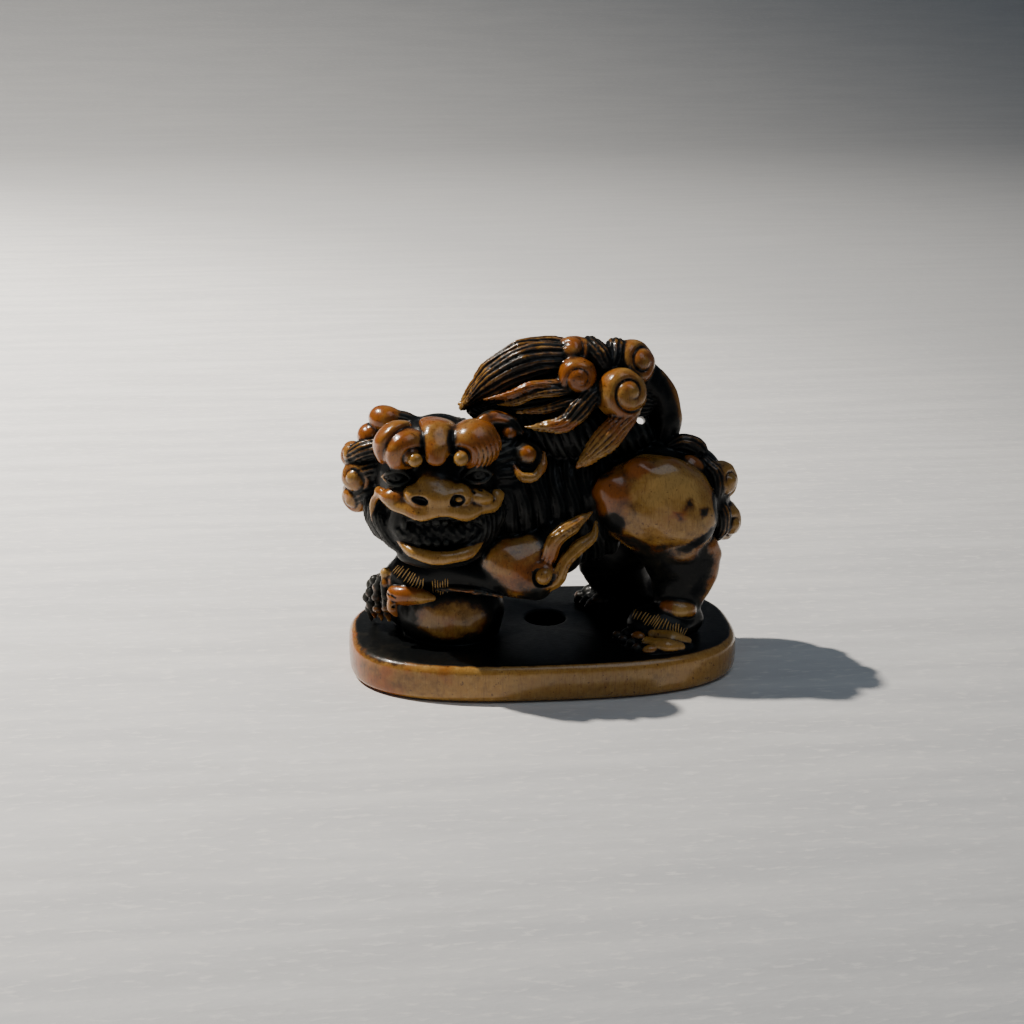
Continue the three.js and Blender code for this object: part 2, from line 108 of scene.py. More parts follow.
def put_on(part, distance, soft, paint):
    """Joins a form to the wood and spreads its finish over the joint."""
    old = field[part]
    share = np.clip(0.5 + 0.5 * (old - distance) / soft, 0, 1)
    field[part] = distance * share + old * (1 - share) - soft * share * (1 - share)
    tint(part, share, paint)


def take_off(part, distance, soft, paint):
    """Cuts a form out of the wood; paint, if any, is the finish of the cut."""
    old = field[part]
    share = np.clip(0.5 - 0.5 * (old + distance) / soft, 0, 1)
    field[part] = old * (1 - share) - distance * share + soft * share * (1 - share)
    if paint:
        tint(part, share, paint)


def along(place, axis):
    """How far places lie along an axis; both are given as X, Y and Z."""
    return place[0] * axis[0] + place[1] * axis[1] + place[2] * axis[2]


def turned(tilt, swing=0):
    """The axes of a form turned about Y, then about Z, in degrees; each row is an axis."""
    a, b = np.radians((tilt, swing))
    about_y = np.array([[np.cos(a), 0, np.sin(a)], [0, 1, 0], [-np.sin(a), 0, np.cos(a)]])
    about_z = np.array([[np.cos(b), -np.sin(b), 0], [np.sin(b), np.cos(b), 0], [0, 0, 1]])
    return (about_z @ about_y).T


def tint_patch(at, size, paint, tilt=0):
    """Rubs the stain off an egg-shaped patch, or puts it back, without moving the surface. A few
    pale patches made with it are painted highlights.
    """
    reach = 1.6 * max(size)
    part, grid = window(np.subtract(at, reach), np.add(at, reach))
    off = [g - c for g, c in zip(grid, np.asarray(at, float))]
    away = sum((along(off, axis) / half) ** 2 for axis, half in zip(turned(tilt), size))
    tint(part, np.clip(2.2 - 2.0 * np.sqrt(away), 0, 1), paint)


# %% [markdown]
# ## Four forms to carve with
# Nearly everything on the piece is one of four forms. A mound is a swollen ball, for skull, haunch and
# brow. A lock is a bar that follows a curve, flat or round, with furrows between its strands: hair,
# limbs, lips and claws. A snail is a lock rolled up round a boss. A comb is a set of even furrows
# laid over a mound. Curves and modifiers could make each of these alone, but only as distances can
# they melt into one another.

# %% Mound
def furrows(phase, depth):
    """Round ridges with sharp furrows between them, one to each whole number of phase."""
    return depth * (1 - np.abs(np.sin(np.pi * phase)) ** 0.7)


def mound(at, size, soft=0.5, paint=INK, tilt=0, swing=0, carve=False, comb=None):
    """A ball or egg. comb gives how deep its surface is furrowed at each place."""
    at = np.asarray(at, float)
    size = np.broadcast_to(np.asarray(size, float), 3)
    axes = turned(tilt, swing)
    reach = np.sqrt(((axes.T * size) ** 2).sum(1)) + soft + 0.8
    part, grid = window(at - reach, at + reach)
    off = [g - c for g, c in zip(grid, at)]
    near = far = 0
    for axis, half in zip(axes, size):
        out = along(off, axis)
        near = near + (out / half) ** 2
        far = far + (out / half ** 2) ** 2
    near = np.sqrt(near)
    distance = near * (near - 1) / np.maximum(np.sqrt(far), 1e-4)
    if comb:
        distance = distance + comb(*grid)
    (take_off if carve else put_on)(part, distance, soft, paint)


# %% Lock
def eased(points, steps):
    """A smooth line through points, in even steps between them."""
    points = np.asarray(points, float)
    if points.ndim == 1:
        points = points[:, None]
    ends = np.vstack([2 * points[0] - points[1], points, 2 * points[-1] - points[-2]])
    line = []
    for t in np.linspace(0, len(points) - 1, steps + 1):
        k = min(int(t), len(points) - 2)
        a, b, c, d = ends[k:k + 4]
        f = t - k
        line.append(0.5 * (2 * b + (c - a) * f + (2 * a - 5 * b + 4 * c - d) * f ** 2
                           + (3 * b - a - 3 * c + d) * f ** 3))
    return np.array(line)


def lock(points, half, soft=0.2, paint=HAIR, thick=None, face=(0, -1, 0), strands=0, furrow=0.2,
         twist=0.0, carve=False, steps=16):
    """A bar along a curve. half and thick are half its width and depth at each point, face the way
    its broad side looks, and strands the number of strands across that side."""
    way = eased(points, steps)
    wide = np.interp(np.linspace(0, len(half) - 1, steps + 1), range(len(half)), half)
    thick = half if thick is None else thick
    deep = np.interp(np.linspace(0, len(thick) - 1, steps + 1), range(len(thick)), thick)
    reach = max(wide.max(), deep.max()) + soft + 0.6
    part, grid = window(way.min(0) - reach, way.max(0) + reach)
    shape = field[part].shape
    distance = np.full(shape, FARTHEST, np.float32)
    place, across, above = (np.zeros(shape, np.float32) for _ in range(3))
    for k in range(steps):
        run = way[k + 1] - way[k]
        length = np.linalg.norm(run)
        ahead = run / length
        side = np.cross(ahead, face)
        side /= np.linalg.norm(side)
        up = np.cross(side, ahead)
        start = [g - c for g, c in zip(grid, way[k])]
        t = np.clip(along(start, ahead) / length, 0, 1)
        off = [s - t * r for s, r in zip(start, run)]
        w = wide[k] + t * (wide[k + 1] - wide[k])
        h = deep[k] + t * (deep[k + 1] - deep[k])
        least = np.minimum(w, h)
        u = along(off, side) / w
        v = along(off, up) / h
        e = along(off, ahead) / least
        here = (np.sqrt(u * u + v * v + e * e) - 1) * least
        closer = here < distance
        distance = np.where(closer, here, distance)
        place = np.where(closer, (k + t) / steps, place)
        across = np.where(closer, u, across)
        above = np.where(closer, v, above)
    if strands:
        turn = (np.arctan2(above, across) + twist * place) / np.pi
        distance = distance + furrows(strands * turn, furrow)
        distance = distance + furrows(2.5 * strands * turn + 1.3 * place, 0.2 * furrow)
    (take_off if carve else put_on)(part, distance, soft, paint)


# %% Snail
SNAIL_DEPTH = 0.82                                   # half a snail's depth, in radii


def looking(look):
    """Axes for a form that faces one way: level, upright and outward."""
    out = np.asarray(look, float) / np.linalg.norm(look)
    level = np.cross([0, 0, 1], out)
    level /= np.linalg.norm(level)
    return level, np.cross(out, level), out


def snail(at, radius, look, start=0.0, hand=1, pitch=0.6, eye=(0, 0), boss=0.3, fine=0.06,
          paint=HONEY, boss_paint=OCHRE):
    """A lock rolled up like a snail's shell. start is where the hair runs in, in turns, hand the way
    it winds, pitch the rope's width as a share of the radius, eye where the boss stands off the
    middle, and fine the depth of the strands in the rope."""
    level, upright, out = looking(look)
    at = np.asarray(at, float)
    part, grid = window(at - radius - 1.0, at + radius + 1.0)
    off = [(g - c) / radius for g, c in zip(grid, at)]
    a, b, c = along(off, level), along(off, upright), along(off, out)
    distance = (np.sqrt(a * a + b * b + (c / SNAIL_DEPTH) ** 2) - 1) * radius * 0.9
    flat = np.hypot(a - eye[0], b - eye[1])
    winding = (flat - boss) / pitch - hand * np.arctan2(b - eye[1], a - eye[0]) / (2 * np.pi) + start
    within = winding - np.floor(winding)
    rope = np.sqrt(np.maximum(1 - (2 * within - 1) ** 2, 0))
    front = np.clip(c / 0.35, 0, 1) * np.clip((flat - 0.6 * boss) / 0.2, 0, 1)
    distance = distance + 0.36 * radius * min(pitch, 0.8) * (1 - rope) * front
    distance = distance + furrows(3.5 * winding, fine) * front
    put_on(part, distance.astype(np.float32), 0.25, paint)
    height = SNAIL_DEPTH * math.sqrt(max(1 - eye[0] ** 2 - eye[1] ** 2, 0.2)) - 0.8 * boss
    middle = at + radius * (eye[0] * level + eye[1] * upright + height * out)
    mound(middle, boss * radius, 0.1, boss_paint)


def mirrored(points, side):
    """The same points on the other side of the animal's spine."""
    return [(x, -side * y, z) for x, y, z in points]


# %% [markdown]
# ## Base
# The animal stands on a low oval slab, cut with a softly squared outline and eased edges, its side
# a little swollen where it was filed. A beveled curve would do, but it has to melt into paws and
# ball, so it goes into the block as a distance too. The cord hole is cut last, right through it.

# %% Base
BASE = {"half_length": 20.0, "half_depth": 12.65, "thick": 3.8, "edge": 0.75, "squareness": 2.8,
        "swell": 0.16}
BALL = {"at": (-9.45, -1.0, 6.3), "radius": 5.45}


def base():
    long, short, power = BASE["half_length"], BASE["half_depth"], BASE["squareness"]
    part, (x, y, z) = window((-long - 1, -short - 1, -1), (long + 1, short + 1, BASE["thick"] + 1))
    a, b = np.abs(x) / long, np.abs(y) / short
    sum_ = np.maximum(a ** power + b ** power, 1e-6)
    size = sum_ ** (1 / power)
    slope = sum_ ** (1 / power - 1) * np.hypot(a ** (power - 1) / long, b ** (power - 1) / short)
    edge, middle = BASE["edge"], 0.5 * BASE["thick"]
    swell = BASE["swell"] * (1 - ((z - middle) / middle) ** 2)
    outward = (size - 1) / np.maximum(slope, 0.03) + edge + BASE["swell"] - swell
    upward = np.abs(z - middle) - middle + edge
    distance = np.hypot(np.maximum(outward, 0), np.maximum(upward, 0))
    distance = distance + np.minimum(np.maximum(outward, upward), 0) - edge
    put_on(part, distance.astype(np.float32), 0.3, INK)
    side = np.clip((outward - 0.12 + 0.15 * np.clip((-x - 14) / 5, 0, 1)) / 0.3, 0, 1)
    side = np.maximum(side, np.clip((0.6 - z) / 0.4, 0, 1))
    # The left end of the base is made redder and a little less rubbed: partly the wood's own warmer tone,
    # partly painted shade that tones down where the low sun falls.
    left = np.clip((-x - 8) / 9, 0, 1)
    tint(part, side, (1.0 - 0.16 * left, 0.05 + 0.75 * left))
    tint_patch((-15.5, -5.0, BASE["thick"]), (5.0, 7.0, 0.8), (0.22, 0.1))
    mound(BALL["at"], BALL["radius"], 0.35)


base()
print("base and ball stand", BASE["thick"], "and", round(BALL["at"][2] + BALL["radius"], 2), "mm high")

# %% [markdown]
# ## Body
# The trunk is a deep chest, a belly and a broad rump, and the haunches are smooth swollen balls that
# carry the brightest wood on the piece. The flank between them is left dark, with long upright
# furrows for the ribs. The furrows are combed across the belly before the haunches cover its end.

# %% Body
SHOULDER = (-4.5, 0.3, 18.0)
BARREL = (2.6, 0.2, 17.0)
HIPS = (11.2, 0.3, 18.2)
RUMP = (15.8, 0.2, 17.0)
HAUNCH = (
    ((11.1, -4.0, 17.6), (6.1, 4.1, 5.0), 0.45, OCHRE, 8),
    ((7.4, -5.0, 18.6), (2.7, 2.5, 3.1), 0.9, AMBER, 10),
    ((10.8, -5.2, 20.6), (3.4, 2.2, 2.0), 0.9, HONEY, -8),
    ((14.2, -5.0, 16.2), (2.9, 2.4, 3.2), 0.9, OCHRE, -12),
    ((13.4, -5.4, 13.1), (1.8, 1.4, 1.2), 0.7, HONEY, 0),
    ((16.2, -4.4, 13.2), (1.2, 1.3, 1.1), 0.4, HONEY, 0),
)
RUBBED_AND_HIGHLIGHT = (
    ((5.8, -6.9, 18.9), (2.6, 2.0, 2.6), (0.85, 1.0), 0),
    # The pale patch at the top of the near haunch is a painted highlight, for a window's reflection.
    ((12.0, -7.8, 19.8), (4.0, 2.4, 2.6), (1.3, -0.4), 0),
    ((8.4, -6.9, 14.2), (3.2, 1.8, 1.0), (0.42, 1.0), 20),
    ((5.2, -6.4, 22.2), (1.9, 1.8, 1.3), INK, -35),
    ((5.9, -7.2, 16.0), (1.5, 1.8, 1.9), INK, 35),
    ((11.3, -8.2, 13.9), (1.6, 1.5, 0.5), INK, -12),
    ((15.8, -6.6, 14.8), (2.9, 1.8, 0.55), INK, -28),
    ((17.2, -5.6, 17.6), (0.8, 1.6, 2.6), INK, -8),
    ((12.8, -8.2, 17.5), (0.6, 1.4, 0.6), (0.45, 0.7), 40),
    ((13.9, -8.0, 18.7), (1.0, 1.4, 0.45), (0.4, 0.7), -25),
    ((15.6, -7.4, 17.6), (0.8, 1.4, 0.5), (0.4, 0.7), -50),
)


def ribs(x, y, z):
    fine = furrows(2.1 * x + 0.4 * z + 0.35 * np.sin(1.3 * z) + 0.3 * np.sin(0.9 * y), 0.1)
    return furrows(0.6 * x + 0.1 * z, 0.4) + fine


def trunk():
    mound(SHOULDER, (6.8, 6.2, 7.6), 1.0, comb=ribs)
    mound(BARREL, (8.6, 5.9, 6.7), 1.0, comb=ribs)
    mound(HIPS, (6.6, 5.6, 5.0), 1.2)
    mound(RUMP, (3.6, 4.4, 5.3), 0.8, DUSK)
    for side in (NEAR, FAR):
        for at, size, soft, paint, tilt in HAUNCH:
            mound(mirrored([at], side)[0], size, soft, paint, tilt)
    mound((6.1, -5.7, 19.7), (1.5, 1.5, 1.6), 0.7, AMBER)
    mound((9.1, -5.7, 21.6), (1.5, 1.4, 1.3), 0.5, AMBER)
    for at, size, paint, tilt in RUBBED_AND_HIGHLIGHT:
        tint_patch(at, size, paint, tilt)


trunk()

# %% [markdown]
# ## Legs and paws
# The near foreleg bends sharply, lays its forearm along the top of the ball and lets its toes hang
# down beyond it. The other three stand. The far feet have a cuff of short combed hair over a fan of
# knuckled toes, so one function makes a toe and the cuffs are short locks with many strands.

# %% Toes
def toe(points, half, claw, paint=DUSK):
    """A toe of knuckles, pinched between its joints, with a hooked claw at the end."""
    lock(points, [0.68 * h for h in half], 0.15, paint, face=(0, 0, 1), steps=3 * len(points))
    for k, (point, size) in enumerate(zip(points[1:], half[1:])):
        shift = [0.13 * math.sin(5.1 * k + 3 * point[1]), 0.13 * math.sin(3.7 * k + 5 * point[1]), 0]
        mound(np.add(point, shift), (1.08 * size, 1.08 * size, 0.95 * size), 0.08, paint)
    tip = np.array(points[-1])
    out = np.array(claw) - tip
    size = 0.66 * half[-1]
    lock([tip + 0.3 * out, tip + 0.75 * out + (0, 0, 0.1), claw], (size, 0.8 * size, 0.15), 0.06, paint,
         face=(0, 0, 1), steps=6)


# %% Legs
def foreleg_on_ball():
    lock([(-1.4, -6.6, 10.7), (-5.5, -5.7, 11.0), (-9.2, -4.6, 11.4), (-13.2, -2.6, 11.0)],
         (1.9, 1.7, 1.8, 2.3), 0.5, INK)
    mound((-3.3, -5.8, 12.0), (3.9, 2.7, 2.7), 0.5, HONEY, tilt=30)
    mound((-1.6, -5.4, 12.9), (2.4, 2.2, 2.3), 0.8, OCHRE)
    mound((-2.3, -6.6, 10.8), (2.7, 1.8, 1.7), 0.6, OCHRE)
    tint_patch((-2.9, -8.6, 10.9), (1.5, 1.5, 1.1), (0.72, 1.0), tilt=-20)
    tint_patch((-5.9, -7.6, 10.4), (1.3, 1.6, 0.6), INK, tilt=25)
    tint_patch((-2.7, -8.0, 9.5), (0.5, 1.4, 0.3), INK)
    mound((-12.6, -2.9, 11.6), (1.9, 1.9, 1.3), 0.3)
    lock([(-12.0, -2.7, 12.0), (-13.2, -2.5, 10.9), (-14.0, -2.2, 9.8)], (1.7, 2.2, 2.4), 0.3, INK)
    lock([(-12.9, -3.9, 12.0), (-13.6, -4.1, 11.2), (-14.2, -4.3, 10.3)], (1.4, 1.7, 1.8), 0.2, INK,
         thick=(0.55, 0.7, 0.6), face=(-0.2, -0.87, 0.48))
    lock([(-4.8, -7.3, 9.5), (-7.0, -6.9, 9.9), (-9.0, -6.2, 10.1), (-11.2, -5.3, 9.8)],
         (0.2, 0.4, 0.4, 0.2), 0.25, (-0.1, 0.4), thick=(0.4, 0.8, 0.8, 0.4), strands=6, furrow=0.1)
    mound((-14.2, 1.2, 7.4), (2.5, 3.4, 3.6))
    lock([(-15.1, -4.2, 8.95), (-14.2, -4.7, 9.0), (-12.8, -5.4, 9.1), (-11.6, -6.0, 9.0)],
         (1.05, 1.15, 0.85, 0.3), 0.12, AMBER)
    tint_patch((-12.9, -6.2, 8.9), (1.8, 1.2, 0.9), OCHRE)
    lock([(-15.5, -4.5, 8.4), (-15.6, -4.8, 7.6), (-15.2, -4.9, 6.9)], (0.55, 0.5, 0.15), 0.1, HONEY)
    for z in (9.0, 8.45, 7.9):
        lock([(-16.1, -4.4, z + 0.1), (-15.4, -5.3, z), (-14.75, -5.8, z - 0.3)], (0.1, 0.14, 0.06), 0.08,
             INK, carve=True, steps=5)
    toe([(-15.0, -2.6, 10.6), (-16.1, -2.7, 10.8), (-16.3, -3.1, 9.7), (-16.3, -2.9, 8.4),
         (-16.2, -2.6, 7.0)], (0.7, 0.52, 0.5, 0.5, 0.5), (-15.9, -2.6, 5.6), (0.05, 0.5))
    toe([(-15.2, -1.5, 10.3), (-16.6, -1.9, 10.0), (-17.0, -1.6, 8.9), (-17.0, -1.4, 7.7),
         (-16.9, -1.1, 6.4)], (0.7, 0.55, 0.55, 0.55, 0.52), (-16.6, -1.0, 5.1), (-0.05, 0.4))
    toe([(-15.2, 0.2, 9.8), (-17.1, -0.2, 9.2), (-17.5, 0.0, 7.9), (-17.4, 0.2, 6.4)],
        (0.8, 0.62, 0.62, 0.58), (-17.3, 0.3, 5.0), (-0.15, 0.4))
    toe([(-15.0, 2.0, 9.0), (-17.2, 1.6, 8.0), (-17.8, 1.7, 6.7), (-17.7, 1.7, 5.5)],
        (0.9, 0.7, 0.66, 0.6), (-17.6, 1.6, 4.2), (-0.15, 0.4))
    toe([(-14.6, 3.6, 8.2), (-16.6, 3.6, 7.0), (-17.3, 3.7, 5.6)], (0.9, 0.75, 0.66), (-17.4, 3.6, 4.2),
        (-0.1, 0.4))
    tint_patch((-16.2, -3.0, 10.9), (1.0, 1.2, 0.7), (1.1, -0.4))
    tint_patch((-16.0, -3.6, 10.0), (0.7, 1.0, 0.7), (0.85, 0.9))
    tint_patch((-16.0, -3.5, 9.0), (0.5, 0.8, 0.4), (0.6, 0.9))


def standing_foreleg():
    lock([(-3.6, 4.0, 16.5), (-2.9, 6.0, 12.6), (-5.4, 6.9, 8.4), (-9.6, 7.4, 5.4)], (3.0, 2.7, 2.0, 2.1),
         0.6, DUSK, face=(0, 1, 0))
    mound((-3.2, 6.8, 12.4), (2.4, 2.0, 2.9), 0.5, HONEY, tilt=-15)
    lock([(-6.6, 7.2, 7.8), (-8.4, 7.5, 6.0)], (1.9, 2.8), face=(0, 1, 0), strands=20, furrow=0.22)
    for i in range(4):
        y, reach = 5.5 + 1.25 * i, 0.4 * (i % 3)
        toe([(-9.6, y, 5.3), (-11.4 - reach, y, 5.1), (-12.6 - reach, y, 4.6)], (0.85, 0.72, 0.66),
            (-13.6 - reach, y, 4.0))


def near_hindleg():
    lock([(12.4, -3.8, 14.4), (14.0, -3.4, 11.3), (13.7, -3.5, 8.2), (13.4, -3.9, 5.6)],
         (3.8, 3.8, 2.7, 2.2), 0.6, DUSK, thick=(2.8, 2.7, 2.2, 2.0))
    lock([(17.0, -4.2, 12.2), (16.5, -4.3, 9.8), (15.2, -4.3, 7.2)], (0.9, 0.9, 0.6), 0.6, (1.0, 0.5))
    lock([(14.6, -3.6, 5.2), (12.6, -5.0, 5.0), (10.8, -6.2, 4.4)], (1.8, 2.3, 2.2), 0.4, INK,
         thick=(1.6, 1.5, 0.9), face=(0, 0, 1))
    mound((11.6, -4.4, 4.9), (3.3, 3.0, 2.2), 0.3)
    mound((13.3, -5.3, 6.9), (1.9, 1.4, 1.1), 0.3, HONEY, tilt=10)
    # The pale centre of the near ankle knob is a painted highlight, for a window's reflection.
    tint_patch((13.4, -6.6, 7.0), (1.1, 1.0, 0.8), (1.2, -0.4))
    tint_patch((12.0, -6.2, 7.3), (0.9, 1.0, 1.0), (0.6, 1.0))
    mound((11.0, -7.6, 3.95), (3.4, 2.6, 0.5), 0.3)
    lock([(14.0, -8.0, 4.35), (12.3, -7.9, 4.65), (10.6, -7.0, 4.75)], (0.35, 1.0, 0.65), 0.12,
         (1.2, 0.1), thick=(0.35, 0.75, 0.65), face=(0, 0, 1))
    lock([(13.0, -9.3, 4.2), (11.5, -9.5, 4.45), (9.8, -8.4, 4.5)], (0.5, 0.9, 0.6), 0.12, (1.2, 0.1),
         thick=(0.45, 0.7, 0.6), face=(0, 0, 1))
    mound((11.1, -8.7, 5.2), (1.0, 0.35, 0.35), 0.1, (0.1, 0.3), swing=-25, carve=True)
    mound((9.9, -5.7, 4.75), (0.85, 0.75, 0.6), 0.1, OCHRE, swing=-40)
    mound((9.1, -6.8, 4.55), (0.8, 0.65, 0.5), 0.1, HONEY, swing=-40)
    mound((9.9, -9.7, 4.15), (0.9, 0.6, 0.5), 0.1, HONEY, swing=15)
    for x, y, size in ((8.3, -7.7, 0.5), (7.6, -6.5, 0.45), (8.6, -9.1, 0.45), (8.3, -4.9, 0.6),
                       (7.2, -5.2, 0.45)):
        mound((x, y, 4.15), (1.2 * size, size, size), 0.1, (0.0, 0.4), swing=-40)


def far_hindleg():
    lock([(9.8, 4.4, 13.2), (8.2, 4.7, 9.9), (9.1, 5.0, 7.0), (10.6, 5.2, 5.4)], (4.4, 4.0, 3.2, 2.4),
         0.6, DUSK, thick=(2.8, 2.8, 2.4, 2.0), face=(0, 1, 0))
    lock([(11.8, 5.2, 5.0), (9.4, 5.4, 5.2), (7.4, 5.5, 4.9)], (1.8, 2.3, 2.1), 0.4, DUSK,
         thick=(1.5, 1.7, 1.4), face=(0, 0, 1))
    lock([(9.8, 5.2, 8.2), (9.0, 5.4, 6.0)], (2.2, 3.1), thick=(2.0, 2.7), face=(0, 1, 0), strands=22,
         furrow=0.22)
    for i in range(4):
        y, reach = 3.5 + 1.3 * i, 0.4 * (i % 3)
        toe([(8.4, y, 5.1), (6.8 - reach, y, 5.0), (5.9 - reach, y, 4.5)], (0.95, 0.88, 0.7),
            (5.1 - reach, y, 4.0))


foreleg_on_ball()
tint_patch((-9.9, -6.0, 6.65), (5.0, 2.8, 2.8), (0.9, 0.4))
standing_foreleg()
near_hindleg()
far_hindleg()
print("legs done; wood in the block:", int((field < 0).sum()))

# %% [markdown]
# ## Mane
# The mane is a thick ruff that frames the face and closes over the back of the neck. Its hair is
# combed back from the face in fine lines, and it ends in snail curls beside the left cheek
# and along the far side. The ruff goes on before the face, so that the brows and cheeks lie over
# its edge.

# %% Mane
HEAD = (-10.7, -3.2, 21.0)


def combed_back(x, y, z):
    angle = np.arctan2(z - HEAD[2], x - HEAD[0]) / np.pi
    fine = furrows(34 * angle + 0.5 * np.sin(1.1 * y), 0.2)
    return fine + furrows(11 * angle + 0.3 * np.sin(0.7 * y), 0.3)


def mane():
    mound((-14.9, 0.4, 21.0), (4.5, 4.8, 5.2), comb=combed_back)
    mound((-4.8, -0.6, 21.4), (4.6, 5.4, 4.9), comb=combed_back)
    mound((-9.4, 3.0, 20.4), (6.6, 4.6, 4.9), comb=combed_back)
    lock([(-15.6, -1.6, 26.0), (-13.9, -1.8, 26.1), (-12.2, -2.6, 25.7)], (1.5, 1.1, 0.7), 0.25,
         strands=5)
    mound((-15.9, -1.6, 26.5), (1.7, 1.6, 1.35), 0.2, AMBER)
    mound((-17.4, -1.4, 24.8), (1.35, 1.4, 1.3), 0.2, AMBER)
    lock([(-7.4, -3.8, 25.3), (-6.3, -3.4, 26.2), (-5.0, -3.0, 26.6), (-3.5, -3.2, 26.2),
          (-2.6, -3.6, 25.3)], (0.6, 0.85, 0.95, 0.8, 0.4), 0.3, DUSK, strands=3, furrow=0.12)
    tint_patch((-6.3, -4.0, 26.5), (0.9, 1.2, 0.8), AMBER)
    tint_patch((-4.6, -3.8, 27.0), (1.3, 1.2, 0.8), (0.8, 1.0))
    mound((-3.7, -3.7, 25.3), (0.8, 0.8, 0.75), 0.3, (0.75, 1.0))
    for x, z in ((-16.4, 23.4), (-16.2, 21.4), (-16.0, 19.2)):
        lock([(x, -3.0, z + 0.6), (x - 1.6, -2.6, z + 0.1), (x - 2.8, -1.8, z - 0.6)], (1.1, 1.1, 0.9),
             strands=6, furrow=0.26)
    snail((-19.2, -1.2, 22.8), 1.4, (-0.7, -0.7, 0.2), start=0.5)
    snail((-18.7, -2.0, 20.7), 1.85, (-0.6, -0.8, 0.1), start=0.5, hand=-1, pitch=0.7)
    snail((-18.9, -1.2, 18.4), 1.7, (-0.7, -0.7, -0.2), start=0.5)
    snail((-16.4, 4.4, 21.6), 2.4, (-0.6, 0.75, 0.25), start=0.1, paint=AMBER)
    snail((-11.6, 6.4, 22.4), 2.4, (-0.1, 0.9, 0.4), start=0.3, hand=-1)
    snail((-6.4, 6.2, 21.4), 2.4, (0.3, 0.95, 0.2), start=0.6)
    snail((-12.0, 6.8, 17.9), 2.5, (-0.2, 1, 0), start=0.8, paint=AMBER)


mane()

# %% [markdown]
# ## Head
# The face is broad: two swollen brows, each rolled round a small ball, with a ridge between them,
# eyes sunk deep below, a wide flat nose, and a mouth open in a roar over rows of teeth. The lips are
# golden ropes, because fingers rubbed them bare, and the hollows between them have kept their stain.

# %% Head
def brow(hand):
    """One brow. Its hair is rolled round a ball at the inner end: in broad folds on the left and in
    fine strands on the right."""
    middle = (-11.05 + 3.6 * hand, -7.3, 25.15)
    ball = np.array((-11.2 + 2.2 * hand, -9.75, 24.35))

    def folds(x, y, z):
        away = np.hypot(np.hypot(x - ball[0], z - ball[2]), 0.6 * (y - ball[1]))
        if hand < 0:
            return 0.4 * np.exp(-((away - 3.0) / 0.35) ** 2) + 0.25 * np.exp(-((away - 1.1) / 0.2) ** 2)
        low = np.clip(0.9 + 0.35 * (x - ball[0]) - 0.75 * (z - ball[2]), 0, 1)
        return furrows(away / 0.46, 0.24) * low + 0.25 * np.exp(-((away - 1.0) / 0.2) ** 2)

    mound(middle, (2.7, 2.6, 2.5), 0.3, (0.92, 0.75), comb=folds)
    mound(ball, 0.72, 0.08, OCHRE)


def eye(hand):
    middle = np.array((-11.15 + 3.95 * hand, -8.0, 22.3))
    mound(middle + (0, -0.6, 0), (1.7, 1.1, 0.95), 0.3, carve=True)
    mound(middle + (0, 0.1, 0), (0.85, 0.8, 0.72), 0.08)
    for inner, inner_height, outer_height in ((-0.5, 0.62, 0.55), (-0.4, -0.7, -0.62)):
        lid = [(-1.5 * hand, -0.2, -0.25), (inner * hand, -0.65, inner_height),
               (0.6 * hand, -0.5, outer_height), (1.4 * hand, 0.2, -0.1)]
        lock([middle + p for p in lid], (0.16, 0.2, 0.2, 0.14), 0.1, INK)
    mound(middle + (0, -0.78, 0), (0.2, 0.3, 0.2), 0.05, carve=True)


def nose():
    mound((-11.2, -7.8, 20.2), (3.7, 3.0, 1.9), 0.4, OCHRE)
    mound((-11.2, -8.4, 19.6), (3.9, 2.2, 1.1), 0.5, OCHRE)
    lock([(-10.9, -8.0, 21.8), (-11.1, -9.2, 21.4), (-11.2, -10.0, 20.7)], (1.5, 2.1, 1.9), 0.6, OCHRE,
         thick=(0.6, 0.95, 1.0))
    mound((-15.0, -8.0, 20.35), (1.7, 1.3, 0.95), 0.5, AMBER, tilt=-8)
    mound((-7.2, -8.4, 20.2), (1.5, 1.2, 0.8), 0.4, OCHRE, tilt=12)
    mound((-13.2, -9.4, 20.7), (1.4, 1.3, 0.9), 0.3, OCHRE, tilt=24)
    mound((-9.25, -9.4, 20.6), (1.35, 1.3, 1.1), 0.2, OCHRE)
    tint_patch((-12.0, -10.2, 19.2), (0.9, 1.5, 0.6), (0.5, 0.9), tilt=-30)
    mound((-13.05, -10.8, 20.5), (0.85, 0.8, 0.42), 0.15, tilt=12, carve=True)
    mound((-9.35, -10.7, 20.4), (0.75, 0.75, 0.6), 0.12, carve=True)
    mound((-9.2, -10.2, 20.45), (0.42, 0.4, 0.34), 0.06, HONEY)
    for i in range(4):
        x = -7.9 + 0.75 * i
        lock([(x, -9.1 + 0.45 * i, 21.2 - 0.1 * i), (x + 0.35, -9.2 + 0.45 * i, 20.3 - 0.1 * i),
              (x + 0.2, -9.4 + 0.45 * i, 19.6)], (0.06, 0.11, 0.05), 0.15, INK, carve=True)


UPPER_LIP = [(-16.8, -6.6, 20.5), (-15.6, -8.3, 19.7), (-14.3, -9.3, 19.3), (-12.8, -10.1, 18.95),
             (-11.4, -10.4, 19.35), (-10.1, -10.3, 19.3), (-8.5, -9.7, 18.75), (-7.1, -8.8, 19.0),
             (-5.7, -7.5, 18.95), (-5.0, -6.7, 19.8)]
LOWER_LIP = [(-15.1, -6.9, 15.9), (-14.3, -8.3, 15.2), (-13.0, -9.4, 14.7), (-10.8, -10.0, 14.45),
             (-8.6, -9.4, 14.6), (-7.4, -8.3, 15.0), (-6.6, -7.2, 15.6)]


def knobs(x, y, z):
    return 0.1 * np.sin(6.6 * x + 0.8 * np.sin(3 * z)) * np.sin(6.2 * z + 1.3 * np.sin(2 * x))


